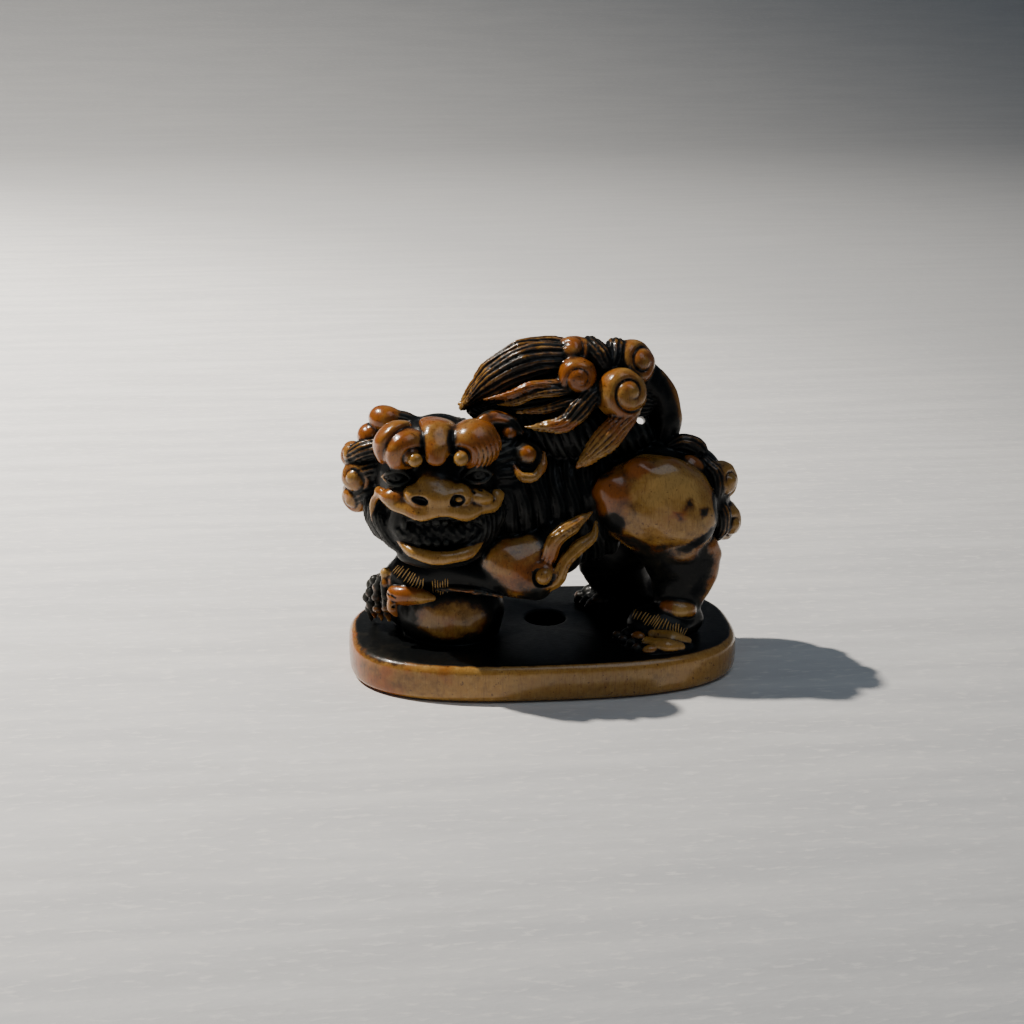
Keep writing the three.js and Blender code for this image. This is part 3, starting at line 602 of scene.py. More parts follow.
def mouth():
    mound((-10.9, -7.0, 14.2), (4.3, 2.5, 1.6))
    mound((-11.1, -10.0, 16.9), (5.2, 3.2, 1.25), 0.25, carve=True)
    mound((-11.1, -9.6, 16.6), (4.3, 2.7, 1.5), 0.2, carve=True)
    lock(UPPER_LIP, (0.5, 0.62, 0.62, 0.66, 0.58, 0.6, 0.68, 0.6, 0.68, 0.55), 0.35, OCHRE, steps=27)
    lock(LOWER_LIP, (0.25, 0.5, 0.62, 0.66, 0.6, 0.5, 0.2), 0.25, OCHRE,
         thick=(0.3, 0.6, 0.65, 0.7, 0.65, 0.55, 0.3), steps=24)
    mound((-5.5, -7.0, 19.4), (0.8, 0.7, 1.1), 0.25, OCHRE, tilt=20)
    mound((-11.2, -7.9, 16.6), (4.1, 1.35, 1.6), 0.2, comb=knobs)
    for i in range(9):
        across = (i - 4) / 4
        bend = 1.5 * across * across
        wobble = 0.12 * math.sin(2.4 * i)
        mound((-11.3 + 3.4 * across, -9.1 + bend, 15.8 + 0.2 * bend + wobble), (0.44, 0.5, 0.48), 0.06)
        mound((-11.2 + 3.2 * across, -8.5 + bend, 16.5 + 0.15 * bend - wobble), (0.42, 0.5, 0.4), 0.06)
        mound((-11.3 + 3.3 * across, -8.9 + bend, 17.9 + 0.2 * bend + wobble), (0.42, 0.5, 0.42), 0.06)
    for hand in (-1, 1):
        mound((-11.3 + 3.1 * hand, -8.4, 17.7), (0.4, 0.5, 0.8), 0.08)


def cheeks():
    left = [(-16.5, -7.2, 20.6), (-17.3, -6.3, 19.4), (-17.3, -6.0, 17.8), (-16.4, -6.3, 16.3)]
    lock(left, (0.4, 0.35, 0.3, 0.2), 0.2, HONEY)
    mound((-16.0, -5.2, 18.5), (1.3, 1.4, 2.2), 0.4)
    mound((-16.3, -7.5, 18.35), (0.5, 0.6, 0.9), 0.15, tilt=30, carve=True)
    for hand, edge in ((-1, -16.6), (1, -5.1)):
        for i in range(3):
            out, back = edge + hand * 0.45 * i, 0.3 + 1.3 * i
            sweep = [(out - 0.2 * hand, -6.3 + back, 19.2 + 0.4 * i),
                     (out + 0.2 * hand, -6.6 + back, 17.8), (out - 0.7 * hand, -6.7 + back, 15.8),
                     (out - 2.4 * hand, -7.6 + back, 14.0)]
            lock(sweep, (0.4, 0.9, 0.9, 0.4), 0.25, (-0.05, 0.4), thick=(0.3, 0.6, 0.7, 0.4),
                 face=(0.8 * hand, -1, 0), strands=6, furrow=0.16)


def jaw_lines(x, y, z):
    away = np.hypot((x + 11.2) / 1.2, z - 17.0)
    outside = np.clip((away - 3.0) / 0.5, 0, 1)
    outside = outside * np.clip((21.5 - z) / 2, 0, 1) * np.clip((-y - 4) / 2, 0, 1)
    return furrows(away / 0.42, 0.2) * outside * np.clip(0.6 + 0.1 * (x + 11.2), 0.25, 1)


def head():
    mound(HEAD, (6.3, 6.0, 6.1))
    mound((-10.6, -4.4, 17.1), (6.2, 5.4, 4.4), 0.6, comb=jaw_lines)
    mound((-11.1, -6.6, 18.2), (4.9, 2.8, 3.4), 0.6, comb=jaw_lines)
    lock([(-10.85, -5.4, 26.6), (-10.9, -7.4, 26.35), (-11.15, -8.8, 25.3), (-11.25, -9.4, 24.3)],
         (1.8, 1.95, 1.5, 0.95), 0.15, (0.92, 0.7), thick=(0.9, 1.15, 1.1, 0.7))
    tint_patch((-9.75, -9.2, 25.9), (0.55, 1.6, 1.3), (0.1, 0.4))
    tint_patch((-12.55, -9.2, 25.4), (0.3, 1.6, 1.6), (0.1, 0.4))
    for part in (eye, brow):
        part(-1)
        part(1)
    nose()
    mouth()
    cheeks()


head()

# %% [markdown]
# ## Ear
# Beside the near cheek a round bead lies in a roll of striped hair. It is the ear, and it is the one
# bright spot in the dark hair between the head and the flank.

# %% Ear
def ear():
    snail((-2.1, -4.0, 22.7), 2.0, (0.3, -0.95, 0.15), start=0.2, hand=-1, pitch=0.8, boss=0.5,
          eye=(-0.1, 0.25), paint=HAIR, boss_paint=AMBER)
    lock([(-3.5, -5.2, 22.4), (-2.7, -5.9, 21.4), (-1.4, -5.7, 21.3), (-0.5, -5.1, 22.3),
          (-0.3, -4.6, 23.4)], (0.35, 0.5, 0.55, 0.45, 0.2), 0.12, HONEY, strands=5, furrow=0.18,
         steps=18)


ear()

# %% [markdown]
# ## Tail and plume
# The tail climbs from the rump as a smooth slate-dark band, turns over, and breaks into a plume that
# lies along the back: a combed core, six flame-shaped locks on each side, and a cluster of snail
# curls where they spring. Strands are cut as furrows that follow each lock, so they crowd together
# at its tip as combed hair does.

# %% Tail
TAIL_TOP = (8.8, 0.3, 30.8)


def hanging(x, y, z):
    return furrows(1.1 * x + 0.75 * z + 0.4 * np.sin(0.9 * z), 0.26) + furrows(0.4 * x + 0.3 * z, 0.2)


def tail():
    lock([(9.6, 0.4, 27.6), (5.6, 0.2, 28.6), (2.0, 0.0, 28.6), (-2.4, -0.2, 28.0), (-6.8, -0.4, 27.0)],
         (2.6, 3.2, 3.0, 2.4, 1.0), 0.4, (0.0, 0.4), thick=(2.2, 3.3, 3.5, 2.8, 1.2), strands=15,
         furrow=0.32)
    mound((3.4, 0.3, 24.6), (8.2, 4.9, 3.5), tilt=4, comb=hanging)
    lock([(12.0, 1.4, 21.0), (12.6, 1.2, 24.2), (12.3, 1.0, 27.0), (10.9, 0.6, 29.4), TAIL_TOP],
         (1.6, 1.5, 1.5, 1.6, 1.4), 0.3, (-0.1, 0.2), thick=(2.4, 2.3, 2.2, 2.1, 2.0))
    lock([(13.0, 0.5, 22.6), (13.6, 0.2, 25.0), (13.1, 0.0, 27.8), (11.8, -0.1, 29.9)],
         (0.5, 0.75, 0.75, 0.5), 0.5, HONEY)


def plume(side):
    def flame(points, half, soft=0.15, paint=HAIR, **kind):
        lock(mirrored(points, side), half, soft, paint, face=(0, side, 0.25), **kind)

    flame([(4.2, -0.9, 31.9), (1.2, -1.3, 32.3), (-1.8, -1.5, 31.8), (-5.0, -1.4, 30.0),
           (-8.2, -0.9, 27.2)], (1.2, 1.65, 1.9, 1.6, 0.35), thick=(1.2, 1.5, 1.7, 1.4, 0.4), strands=7,
          furrow=0.34, twist=0.7)
    flame([(2.8, -2.9, 30.4), (0.9, -3.5, 30.2), (-1.6, -3.7, 29.9), (-3.9, -3.5, 29.0),
           (-6.2, -2.9, 28.5)], (0.5, 0.55, 0.55, 0.45, 0.15), paint=(0.5, 0.6), strands=4, furrow=0.24,
          twist=1.5)
    flame([(3.4, -3.4, 29.5), (1.5, -3.9, 29.4), (-0.9, -4.0, 29.2), (-3.4, -3.7, 28.3),
           (-5.2, -3.2, 28.0)], (0.5, 0.5, 0.5, 0.4, 0.15), strands=4, furrow=0.24)
    flame([(4.2, -3.6, 28.6), (2.2, -4.2, 28.3), (-0.2, -4.2, 27.7), (-3.0, -3.8, 27.3)],
          (0.6, 0.6, 0.5, 0.2), 0.2, (0.1, 0.4), strands=4, furrow=0.24)
    flame([(5.8, -3.4, 29.6), (4.4, -4.2, 28.9), (3.0, -4.8, 27.7), (1.6, -5.1, 26.5), (-0.4, -5.0, 26.1),
           (-2.2, -4.7, 26.1)],
          (0.7, 1.0, 1.15, 1.0, 0.6, 0.2), thick=(0.6, 0.8, 0.9, 0.8, 0.5, 0.2), strands=6, furrow=0.26,
          twist=-0.5, steps=20)
    tint_patch(mirrored([(1.2, -5.6, 26.3)], side)[0], (2.3, 1.4, 0.7), AMBER)
    flame([(8.6, -3.8, 27.2), (7.2, -4.7, 26.3), (6.0, -5.4, 25.1), (4.4, -5.9, 23.6), (2.8, -6.0, 22.2)],
          (1.0, 1.35, 1.45, 1.1, 0.25), paint=HONEY, thick=(0.7, 1.0, 1.0, 0.8, 0.3), strands=7,
          furrow=0.26, twist=0.4, steps=18)


def tail_curls():
    lock([(4.4, 0.9, 32.4), (4.6, -0.7, 33.0), (5.4, -1.8, 32.6), (6.3, -2.4, 31.4)],
         (1.2, 1.3, 1.3, 0.8), face=(1, 0, 0.3), strands=7)
    lock([(7.6, 0.9, 32.6), (7.2, -0.8, 32.9), (6.8, -1.9, 31.8), (6.2, -2.6, 30.6)],
         (1.0, 1.2, 1.2, 0.8), face=(1, 0, 0.3), strands=6)
    snail((8.9, -0.9, 31.4), 2.45, (0.2, -0.95, 0.25), start=0.1, hand=-1, eye=(0.3, 0.0),
          boss=0.24)
    snail((2.9, -1.2, 32.5), 1.95, (-0.3, -0.85, 0.35), start=0.4, pitch=0.7, eye=(-0.15, 0.1),
          boss=0.3, fine=0.05, paint=AMBER, boss_paint=AMBER)
    snail((3.1, -3.2, 30.7), 2.0, (-0.05, -1, 0.15), start=0.75, pitch=0.56, eye=(0.1, -0.1),
          boss=0.24, fine=0.05, paint=AMBER, boss_paint=HONEY)
    snail((7.4, -3.9, 29.0), 2.6, (0.1, -1, 0.12), start=0.95, pitch=0.62, eye=(0.25, 0.12),
          boss=0.27, paint=HONEY)
    snail((7.6, 3.2, 29.0), 2.6, (0.1, 1, 0.1), start=0.3, hand=-1, pitch=0.9, boss=0.36, fine=0.05)
    snail((3.2, 2.4, 30.8), 2.1, (-0.1, 1, 0.3), start=0.1, hand=-1, fine=0.05)


def rump_curls():
    lock([(13.0, -1.2, 22.8), (14.2, -1.0, 23.0), (15.6, -0.8, 22.4), (16.4, -1.0, 21.0)],
         (0.7, 1.1, 1.2, 0.6), 0.25, face=(0, -1, 0.5), strands=5)
    mound((15.5, -0.2, 22.1), (1.3, 1.3, 1.25), 0.2, HONEY)
    mound((15.1, -2.6, 21.2), (1.3, 1.0, 0.8), 0.3, AMBER, tilt=35)
    for x, z in ((16.9, 20.6), (17.6, 16.6)):
        lock([(x - 0.5, -2.2, z + 0.7), (x + 0.4, -2.8, z - 0.4), (x + 0.5, -2.9, z - 1.8),
              (x + 0.1, -2.6, z - 3.0)], (0.8, 1.0, 1.0, 0.6), strands=6)
    snail((18.1, -1.8, 19.3), 2.0, (0.6, -0.78, 0.15), start=0.6, hand=-1, pitch=0.7, fine=0.05,
          paint=OCHRE)
    snail((18.7, -1.4, 14.9), 2.05, (0.65, -0.75, -0.1), start=0.2, pitch=0.7, paint=OCHRE)
    snail((17.4, 3.2, 17.8), 2.0, (0.7, 0.7, 0), start=0.2, fine=0.05)


tail()
plume(NEAR)
plume(FAR)
tail_curls()
rump_curls()

# %% [markdown]
# ## Flames at the elbow
# Two wavy locks spring from behind the bent elbow and lick up the flank, with a round boss at their
# root. Such flames mark a lion dog as no ordinary animal. They are raised high enough to be rubbed
# golden along every strand.

# %% Flames
def elbow_flames():
    mound((1.0, -5.4, 13.6), (2.6, 1.6, 2.8), 0.6)
    lock([(-0.5, -7.2, 12.6), (0.0, -7.6, 13.8), (0.6, -7.6, 15.4), (2.3, -7.1, 16.5), (4.3, -6.2, 17.6)],
         (0.7, 0.85, 0.9, 0.75, 0.2), 0.2, HONEY, thick=(0.7, 0.8, 0.9, 1.0, 0.4), strands=4, steps=20)
    lock([(-0.4, -7.4, 10.4), (0.7, -7.7, 11.2), (1.4, -7.6, 12.9), (2.8, -7.2, 14.3), (4.3, -6.8, 15.3),
          (4.7, -6.2, 16.6)], (0.6, 0.75, 0.75, 0.7, 0.55, 0.2), 0.2, OCHRE,
         thick=(0.8, 0.9, 1.0, 1.1, 0.9, 0.3), strands=3, steps=22)
    mound((-0.9, -7.6, 11.6), (1.5, 1.2, 1.5), 0.3, HONEY)
    mound((-0.8, -8.7, 11.7), (1.12, 0.7, 1.12), 0.1, carve=True)
    mound((-0.78, -8.35, 11.75), 0.85, 0.05, OCHRE)


elbow_flames()

# %% [markdown]
# ## Holes
# First long shallow waves are cut into every face above the base, such as a knife and a file leave.
# A netsuke also needs a way for the cord: it goes down through the base between the legs. A small slit
# is left between the tail and the back, where the carver cut right through. Both holes are cut last,
# so nothing grows into them.

# %% Holes
CORD_HOLE = {"at": (0.6, 1.9), "radius": (2.1, 2.4)}


def holes():
    (x, y), (wide, deep) = CORD_HOLE["at"], CORD_HOLE["radius"]
    part, (gx, gy, gz) = window((x - 3.4, y - 3.6, -1.0), (x + 3.4, y + 3.6, 6.0))
    ratio = np.sqrt(((gx - x) / wide) ** 2 + ((gy - y) / deep) ** 2) + 0 * gz
    take_off(part, ((ratio - 1) * min(wide, deep)).astype(np.float32), 0.35, None)
    lock([(9.4, -7.0, 27.3), (9.95, 0.0, 25.25), (10.6, 7.0, 23.2)], (0.42, 0.4, 0.42), 0.15, INK,
         thick=(0.55, 0.5, 0.55), face=(1, 0, 0), carve=True, steps=8)


def hand_cut():
    """Long shallow waves above the base, deeper on the haunches."""
    x, y, z = np.meshgrid(*rulers, indexing="ij", sparse=True)
    lift = np.clip(z - 4.5, 0, 1)
    field[:] += lift * 0.07 * np.sin(1.5 * x + 1.4 * np.sin(1.1 * z)) * np.sin(1.3 * y + 1.2 * z + 0.8)
    haunches = np.exp(-((x - 11) / 5) ** 2) * np.exp(-((z - 18) / 4) ** 2)
    field[:] += 0.13 * haunches * np.sin(1.1 * x + 1.7 * np.sin(0.8 * z) + 0.5 * np.abs(y))


hand_cut()
holes()
print("wood in the block, mm3:", round(float((field < 0).sum()) * STEP ** 3))

# %% [markdown]
# ## Skin
# One closed skin is drawn through the block where the distance passes from wood to air: one corner in
# each cell that the surface crosses, joined by four-sided faces. Marching cubes would give more and
# thinner triangles. Crumbs that the furrows cut loose are dropped, and the skin is thinned where it
# is flat, so that fine hair keeps its corners and the haunches don't waste them.

# %% Skin
def skin():
    inside = field < 0
    size = np.array(field.shape) - 1
    corners = [np.array(c) for c in np.ndindex(2, 2, 2)]
    filled = np.zeros(size, np.int8)
    for c in corners:
        filled += inside[c[0]:c[0] + size[0], c[1]:c[1] + size[1], c[2]:c[2] + size[2]]
    mixed = (filled > 0) & (filled < 8)
    cells = np.argwhere(mixed)
    number = np.full(size, -1, np.int32)
    number[mixed] = np.arange(len(cells))
    total = np.zeros((len(cells), 3))
    hits = np.zeros(len(cells))
    for axis in range(3):
        ahead = np.eye(3, dtype=int)[axis]
        for c in corners:
            if c[axis]:
                continue
            a = field[tuple((cells + c).T)].astype(float)
            b = field[tuple((cells + c + ahead).T)].astype(float)
            crossed = (a < 0) != (b < 0)
            share = np.where(crossed, a / np.where(crossed, a - b, 1), 0)
            total += crossed[:, None] * (c + share[:, None] * ahead)
            hits += crossed
    points = corner + STEP * (cells + total / hits[:, None])
    faces = []
    for axis in range(3):
        one, two = [(1, 2), (2, 0), (0, 1)][axis]
        here = [slice(1, -1)] * 3
        here[axis] = slice(0, -1)
        there = list(here)
        there[axis] = slice(1, None)
        a, b = inside[tuple(here)], inside[tuple(there)]
        at = np.argwhere(a != b)
        leaves = a[tuple(at.T)]
        at[:, one] += 1
        at[:, two] += 1
        ring = []
        for p, q in ((-1, -1), (0, -1), (0, 0), (-1, 0)):
            cell = at.copy()
            cell[:, one] += p
            cell[:, two] += q
            ring.append(number[tuple(cell.T)])
        ring = np.stack(ring, 1)
        faces.append(np.where(leaves[:, None], ring, ring[:, ::-1]))
    return points, np.vstack(faces)


def biggest_piece(points, faces):
    """Only the faces that hang together with most of the skin."""
    label = np.arange(len(points))
    while True:
        lowest = label[faces].min(1)
        new = label.copy()
        for k in range(4):
            np.minimum.at(new, label[faces[:, k]], lowest)
        new = new[new]
        new = np.minimum(new, new[label])
        if (new == label).all():
            break
        label = new
    main = np.bincount(label).argmax()
    kept = faces[(label[faces] == main).all(1)]
    used = np.unique(kept)
    renumber = np.zeros(len(points), int)
    renumber[used] = np.arange(len(used))
    return points[used], renumber[kept]


points, faces = skin()
count_before = len(faces)
points, faces = biggest_piece(points, faces)
print("faces drawn:", count_before, "kept:", len(faces))

# %% A mesh from the skin
MOST_TRIANGLES = 178000


def raw_mesh(points, faces):
    mesh = bpy.data.meshes.new("netsuke_raw")
    mesh.vertices.add(len(points))
    mesh.vertices.foreach_set("co", (points * MM).astype(np.float32).ravel())
    mesh.loops.add(faces.size)
    mesh.loops.foreach_set("vertex_index", faces.astype(np.int32).ravel())
    mesh.polygons.add(len(faces))
    mesh.polygons.foreach_set("loop_start", np.arange(0, faces.size, 4, dtype=np.int32))
    mesh.update(calc_edges=True)
    mesh.validate()
    return mesh


def thinned(mesh):
    trial = bpy.data.objects.new("netsuke_raw", mesh)
    bpy.context.collection.objects.link(trial)
    thin = trial.modifiers.new("thin", "DECIMATE")
    thin.ratio = min(1.0, MOST_TRIANGLES / (2 * len(mesh.polygons)))
    light = bpy.data.meshes.new_from_object(trial.evaluated_get(bpy.context.evaluated_depsgraph_get()))
    bpy.data.objects.remove(trial)
    light.name = "netsuke"
    return light


mesh = thinned(raw_mesh(points, faces))
mesh.shade_smooth()
print("triangles:", sum(len(p.vertices) - 2 for p in mesh.polygons))

# %% [markdown]
# ## Where wear shows
# Stain stays in the hollows and rubs away on the ridges. How proud a place stands can be read from
# the block itself: the share of wood in a small box round it, near a half on a flat place, less on a
# ridge and more in a furrow. It is measured once close to, for the strands, and once wider, for the
# folds, and kept on the skin with the rubbing that each form was given.

# %% Wear on the skin
def blurred(values, reach):
    """The mean over a box, one axis at a time."""
    steps = max(1, int(round(reach / STEP)))
    for axis in range(3):
        sums = np.cumsum(values, axis=axis, dtype=np.float32 if steps < 4 else np.float64)
        length = values.shape[axis]
        upper = np.minimum(np.arange(length) + steps, length - 1)
        lower = np.arange(length) - steps - 1
        total = np.take(sums, upper, axis=axis)
        below = np.take(sums, np.maximum(lower, 0), axis=axis)
        shape = [1, 1, 1]
        shape[axis] = length
        below = below * (lower >= 0).reshape(shape)
        values = ((total - below) / (2 * steps + 1)).astype(np.float32)
    return values


def read(values, points):
    """The block's values at points, mixed from the eight nearest cells."""
    at = np.clip((points - corner) / STEP, 0, np.array(values.shape) - 1.001)
    low = at.astype(int)
    share = at - low
    result = 0
    for c in np.ndindex(2, 2, 2):
        weight = np.prod(np.where(c, share, 1 - share), axis=1)
        result = result + weight * values[tuple((low + c).T)]
    return result


wood = np.clip(0.5 - field / STEP, 0, 1).astype(np.float32)
skin_points = np.empty(3 * len(mesh.vertices), np.float32)
mesh.vertices.foreach_get("co", skin_points)
skin_points = skin_points.reshape(-1, 3) / MM
close = read(blurred(wood, 0.3), skin_points)
wide = read(blurred(wood, 0.9), skin_points)
wear = mesh.attributes.new("wear", "FLOAT_COLOR", "POINT")
channels = np.stack([read(bare, skin_points), read(warm, skin_points), 1 - close, 1 - wide], 1)
wear.data.foreach_set("color", channels.astype(np.float32).ravel())
print("proudness close to:", [round(float(v), 2) for v in np.percentile(close, [5, 50, 95])],
      "wide:", [round(float(v), 2) for v in np.percentile(wide, [5, 50, 95])])

netsuke = bpy.data.objects.new("netsuke_carving", mesh)
bpy.context.collection.objects.link(netsuke)

# %% [markdown]
# ## Fine hairs
# Above the paw on the ball and round the near hind foot the carver cut a fringe of hairs little more
# than a tenth of a millimetre thick. Cells fine enough to hold them would make the block eight
# times as big, so they are drawn as slim tapered bars instead, each laid on the skin by looking for
# where the wood begins.

# %% Hairs
HAIR_WIDTHS = (0.5, 0.9, 1.0, 0.95, 0.75, 0.35)      # along a bar, from its root to its tip
SIDES = 5
HAIR_WEAR = (1.6, -0.6, 0.5, 0.5)                    # rubbed bright all over


def on_skin(point, out):
    """Where the wood begins under a point, for someone looking in along out."""
    out = np.asarray(out, float) / np.linalg.norm(out)
    line = np.asarray(point, float) + np.arange(2.2, -2.2, -0.03)[:, None] * out
    inside = read(field, line) < 0
    return line[inside.argmax()] if inside.any() else np.asarray(point, float)


def hair(top, bottom, out, size):
    """The corners of one bar, ring by ring, thickest a third of the way down."""
    shares = np.linspace(0, 1, len(HAIR_WIDTHS))
    way = np.array([on_skin(top + (bottom - top) * t, out) for t in shares])
    way[1:-1] = (way[:-2] + 2 * way[1:-1] + way[2:]) / 4
    ahead = (way[-1] - way[0]) / np.linalg.norm(way[-1] - way[0])
    side = np.cross(ahead, out)
    side /= np.linalg.norm(side)
    up = np.cross(side, ahead)
    corners = []
    for place, width in zip(way, HAIR_WIDTHS):
        for turn in np.arange(SIDES) * 0.4 * np.pi:
            corners.append(place + size * width * (0.3 * up + np.cos(turn) * side + np.sin(turn) * up))
    return np.array(corners)


def fringe(tops, bottoms, outs, number, size):
    """Hairs spread evenly between two edges, each a little out of line."""
    for t in np.linspace(0, 1, number):
        top, bottom, out = (np.array([np.interp(t, np.linspace(0, 1, len(edge)), row)
                                      for row in np.array(edge).T]) for edge in (tops, bottoms, outs))
        shift = 0.12 * math.sin(29 * t) * (bottom - top)
        bars.append(hair(top + shift, bottom + shift, out, size))


bars = []
fringe([(-14.9, -3.9, 11.9), (-14.3, -4.4, 11.8), (-13.5, -4.8, 11.45), (-13.0, -5.0, 11.0),
        (-12.5, -5.3, 10.8)],
       [(-15.7, -4.1, 11.3), (-15.2, -4.6, 11.0), (-14.3, -5.0, 10.45), (-13.7, -5.3, 10.0),
        (-12.8, -5.6, 9.6)],
       [(-0.3, -0.85, 0.45)] * 2, 12, 0.08)
fringe([(-11.6, -5.6, 10.7), (-10.1, -5.8, 10.8)], [(-11.5, -5.8, 9.5), (-10.1, -6.0, 9.5)],
       [(0.0, -0.9, 0.4)] * 2, 7, 0.06)
fringe([(9.0, -4.4, 6.7), (10.1, -5.6, 6.5), (11.0, -6.2, 6.5), (11.6, -6.4, 6.25), (12.25, -6.6, 5.7),
        (13.0, -6.6, 5.4), (13.9, -6.5, 4.9)],
       [(8.5, -5.1, 6.1), (9.4, -6.2, 5.9), (10.1, -7.0, 5.7), (10.8, -7.4, 5.6), (12.0, -7.6, 5.2),
        (12.9, -7.8, 4.8), (13.7, -7.8, 4.5)],
       [(-0.5, -0.7, 0.5), (0.0, -0.8, 0.6), (0.3, -0.8, 0.5)], 20, 0.08)


def hair_mesh():
    corners = SIDES * len(HAIR_WIDTHS)
    one = [list(range(SIDES)), list(range(corners - 1, corners - SIDES - 1, -1))]
    for ring in range(0, corners - SIDES, SIDES):
        for a in range(SIDES):
            b = (a + 1) % SIDES
            one.append([ring + a, ring + b, ring + SIDES + b, ring + SIDES + a])
    faces = [[corners * k + i for i in face] for k in range(len(bars)) for face in one]
    mesh = bpy.data.meshes.new("netsuke_hairs")
    mesh.from_pydata((np.vstack(bars) * MM).tolist(), [], faces)
    mesh.shade_smooth()
    wear = mesh.attributes.new("wear", "FLOAT_COLOR", "POINT")
    wear.data.foreach_set("color", np.tile(np.array(HAIR_WEAR, np.float32), len(mesh.vertices)))
    return mesh


hairs = bpy.data.objects.new("netsuke_hairs", hair_mesh())
bpy.context.collection.objects.link(hairs)
print("hairs:", len(bars))

# %% [markdown]
# ## Stained boxwood
# Boxwood is pale and close-grained. It was stained black-brown, then polished and handled for a
# century, so it is golden ochre where it was rubbed most, deeper orange where the rubbing stopped, and
# black with a cool gleam in the hollows. One shader does all of it: a mask from the wear kept on the
# skin, broken up by noise, chooses between the stain and the wood, and the grain, the pits and the
# polish follow the same mask. Painted textures would need an unwrapped skin and would not follow it.

# %% Shader helpers
class Web:
    """Short ways to add and join the nodes of one material."""

    def __init__(self, material):
        material.use_nodes = True
        self.tree = material.node_tree
        self.shader = self.tree.nodes["Principled BSDF"]
        self.at = self.add("ShaderNodeTexCoord").outputs["Object"]

    def add(self, kind, **values):
        node = self.tree.nodes.new(kind)
        for name, value in values.items():
            setattr(node, name, value)
        return node

    def plug(self, value, socket):
        if isinstance(value, bpy.types.NodeSocket):
            self.tree.links.new(value, socket)
        else:
            socket.default_value = value

    def math(self, operation, *values):
        node = self.add("ShaderNodeMath", operation=operation)
        for value, socket in zip(values, node.inputs):
            self.plug(value, socket)
        return node.outputs[0]

    def times(self, one, two):
        return self.math("MULTIPLY", one, two)

    def scaled(self, value, by, plus):
        return self.math("MULTIPLY_ADD", value, by, plus)

    def centred(self, value):
        return self.math("SUBTRACT", value, 0.5)

    def ramp(self, value, low, high, start=0.0, end=1.0):
        """A smooth step from start, where value is low, to end, where it is high."""
        node = self.add("ShaderNodeMapRange", interpolation_type="SMOOTHSTEP")
        self.plug(value, node.inputs["Value"])
        for name, v in (("From Min", low), ("From Max", high), ("To Min", start), ("To Max", end)):
            node.inputs[name].default_value = v
        return node.outputs[0]

    def stretched(self, scale):
        node = self.add("ShaderNodeMapping")
        self.plug(self.at, node.inputs["Vector"])
        node.inputs["Scale"].default_value = scale
        return node.outputs[0]

    def noise(self, scale, detail=3.0, rough=0.5, vector=None):
        node = self.add("ShaderNodeTexNoise")
        self.plug(self.at if vector is None else vector, node.inputs["Vector"])
        for name, value in (("Scale", scale), ("Detail", detail), ("Roughness", rough)):
            node.inputs[name].default_value = value
        return node.outputs["Fac"]

    def mix(self, share, one, two):
        node = self.add("ShaderNodeMix", data_type="RGBA")
        self.plug(share, node.inputs["Factor"])
        for value, name in ((one, "A"), (two, "B")):
            socket = next(s for s in node.inputs if s.name == name and s.type == "RGBA")
            self.plug((*value, 1.0) if isinstance(value, tuple) else value, socket)
        return next(s for s in node.outputs if s.type == "RGBA")

    def bump(self, height, distance, strength=1.0, normal=None):
        node = self.add("ShaderNodeBump")
        self.plug(height, node.inputs["Height"])
        node.inputs["Distance"].default_value = distance
        node.inputs["Strength"].default_value = strength
        if normal is not None:
            self.plug(normal, node.inputs["Normal"])
        return node.outputs["Normal"]


# %% Stained boxwood
PER_METRE = 1.0 / MM                                  # noise sizes are given per carver's millimetre
STAIN = (0.0032, 0.0038, 0.004)
STAIN_BROWN = (0.020, 0.018, 0.013)
# Grey for the fine scratches, and for the painted sheen on the stain's ridges.
STAIN_DUST_AND_SHEEN = (0.048, 0.050, 0.045)
WOOD_OCHRE = (0.33, 0.168, 0.034)
WOOD_PALE = (0.47, 0.275, 0.080)
WOOD_ORANGE = (0.27, 0.080, 0.011)
WOOD_RED = (0.052, 0.015, 0.003)


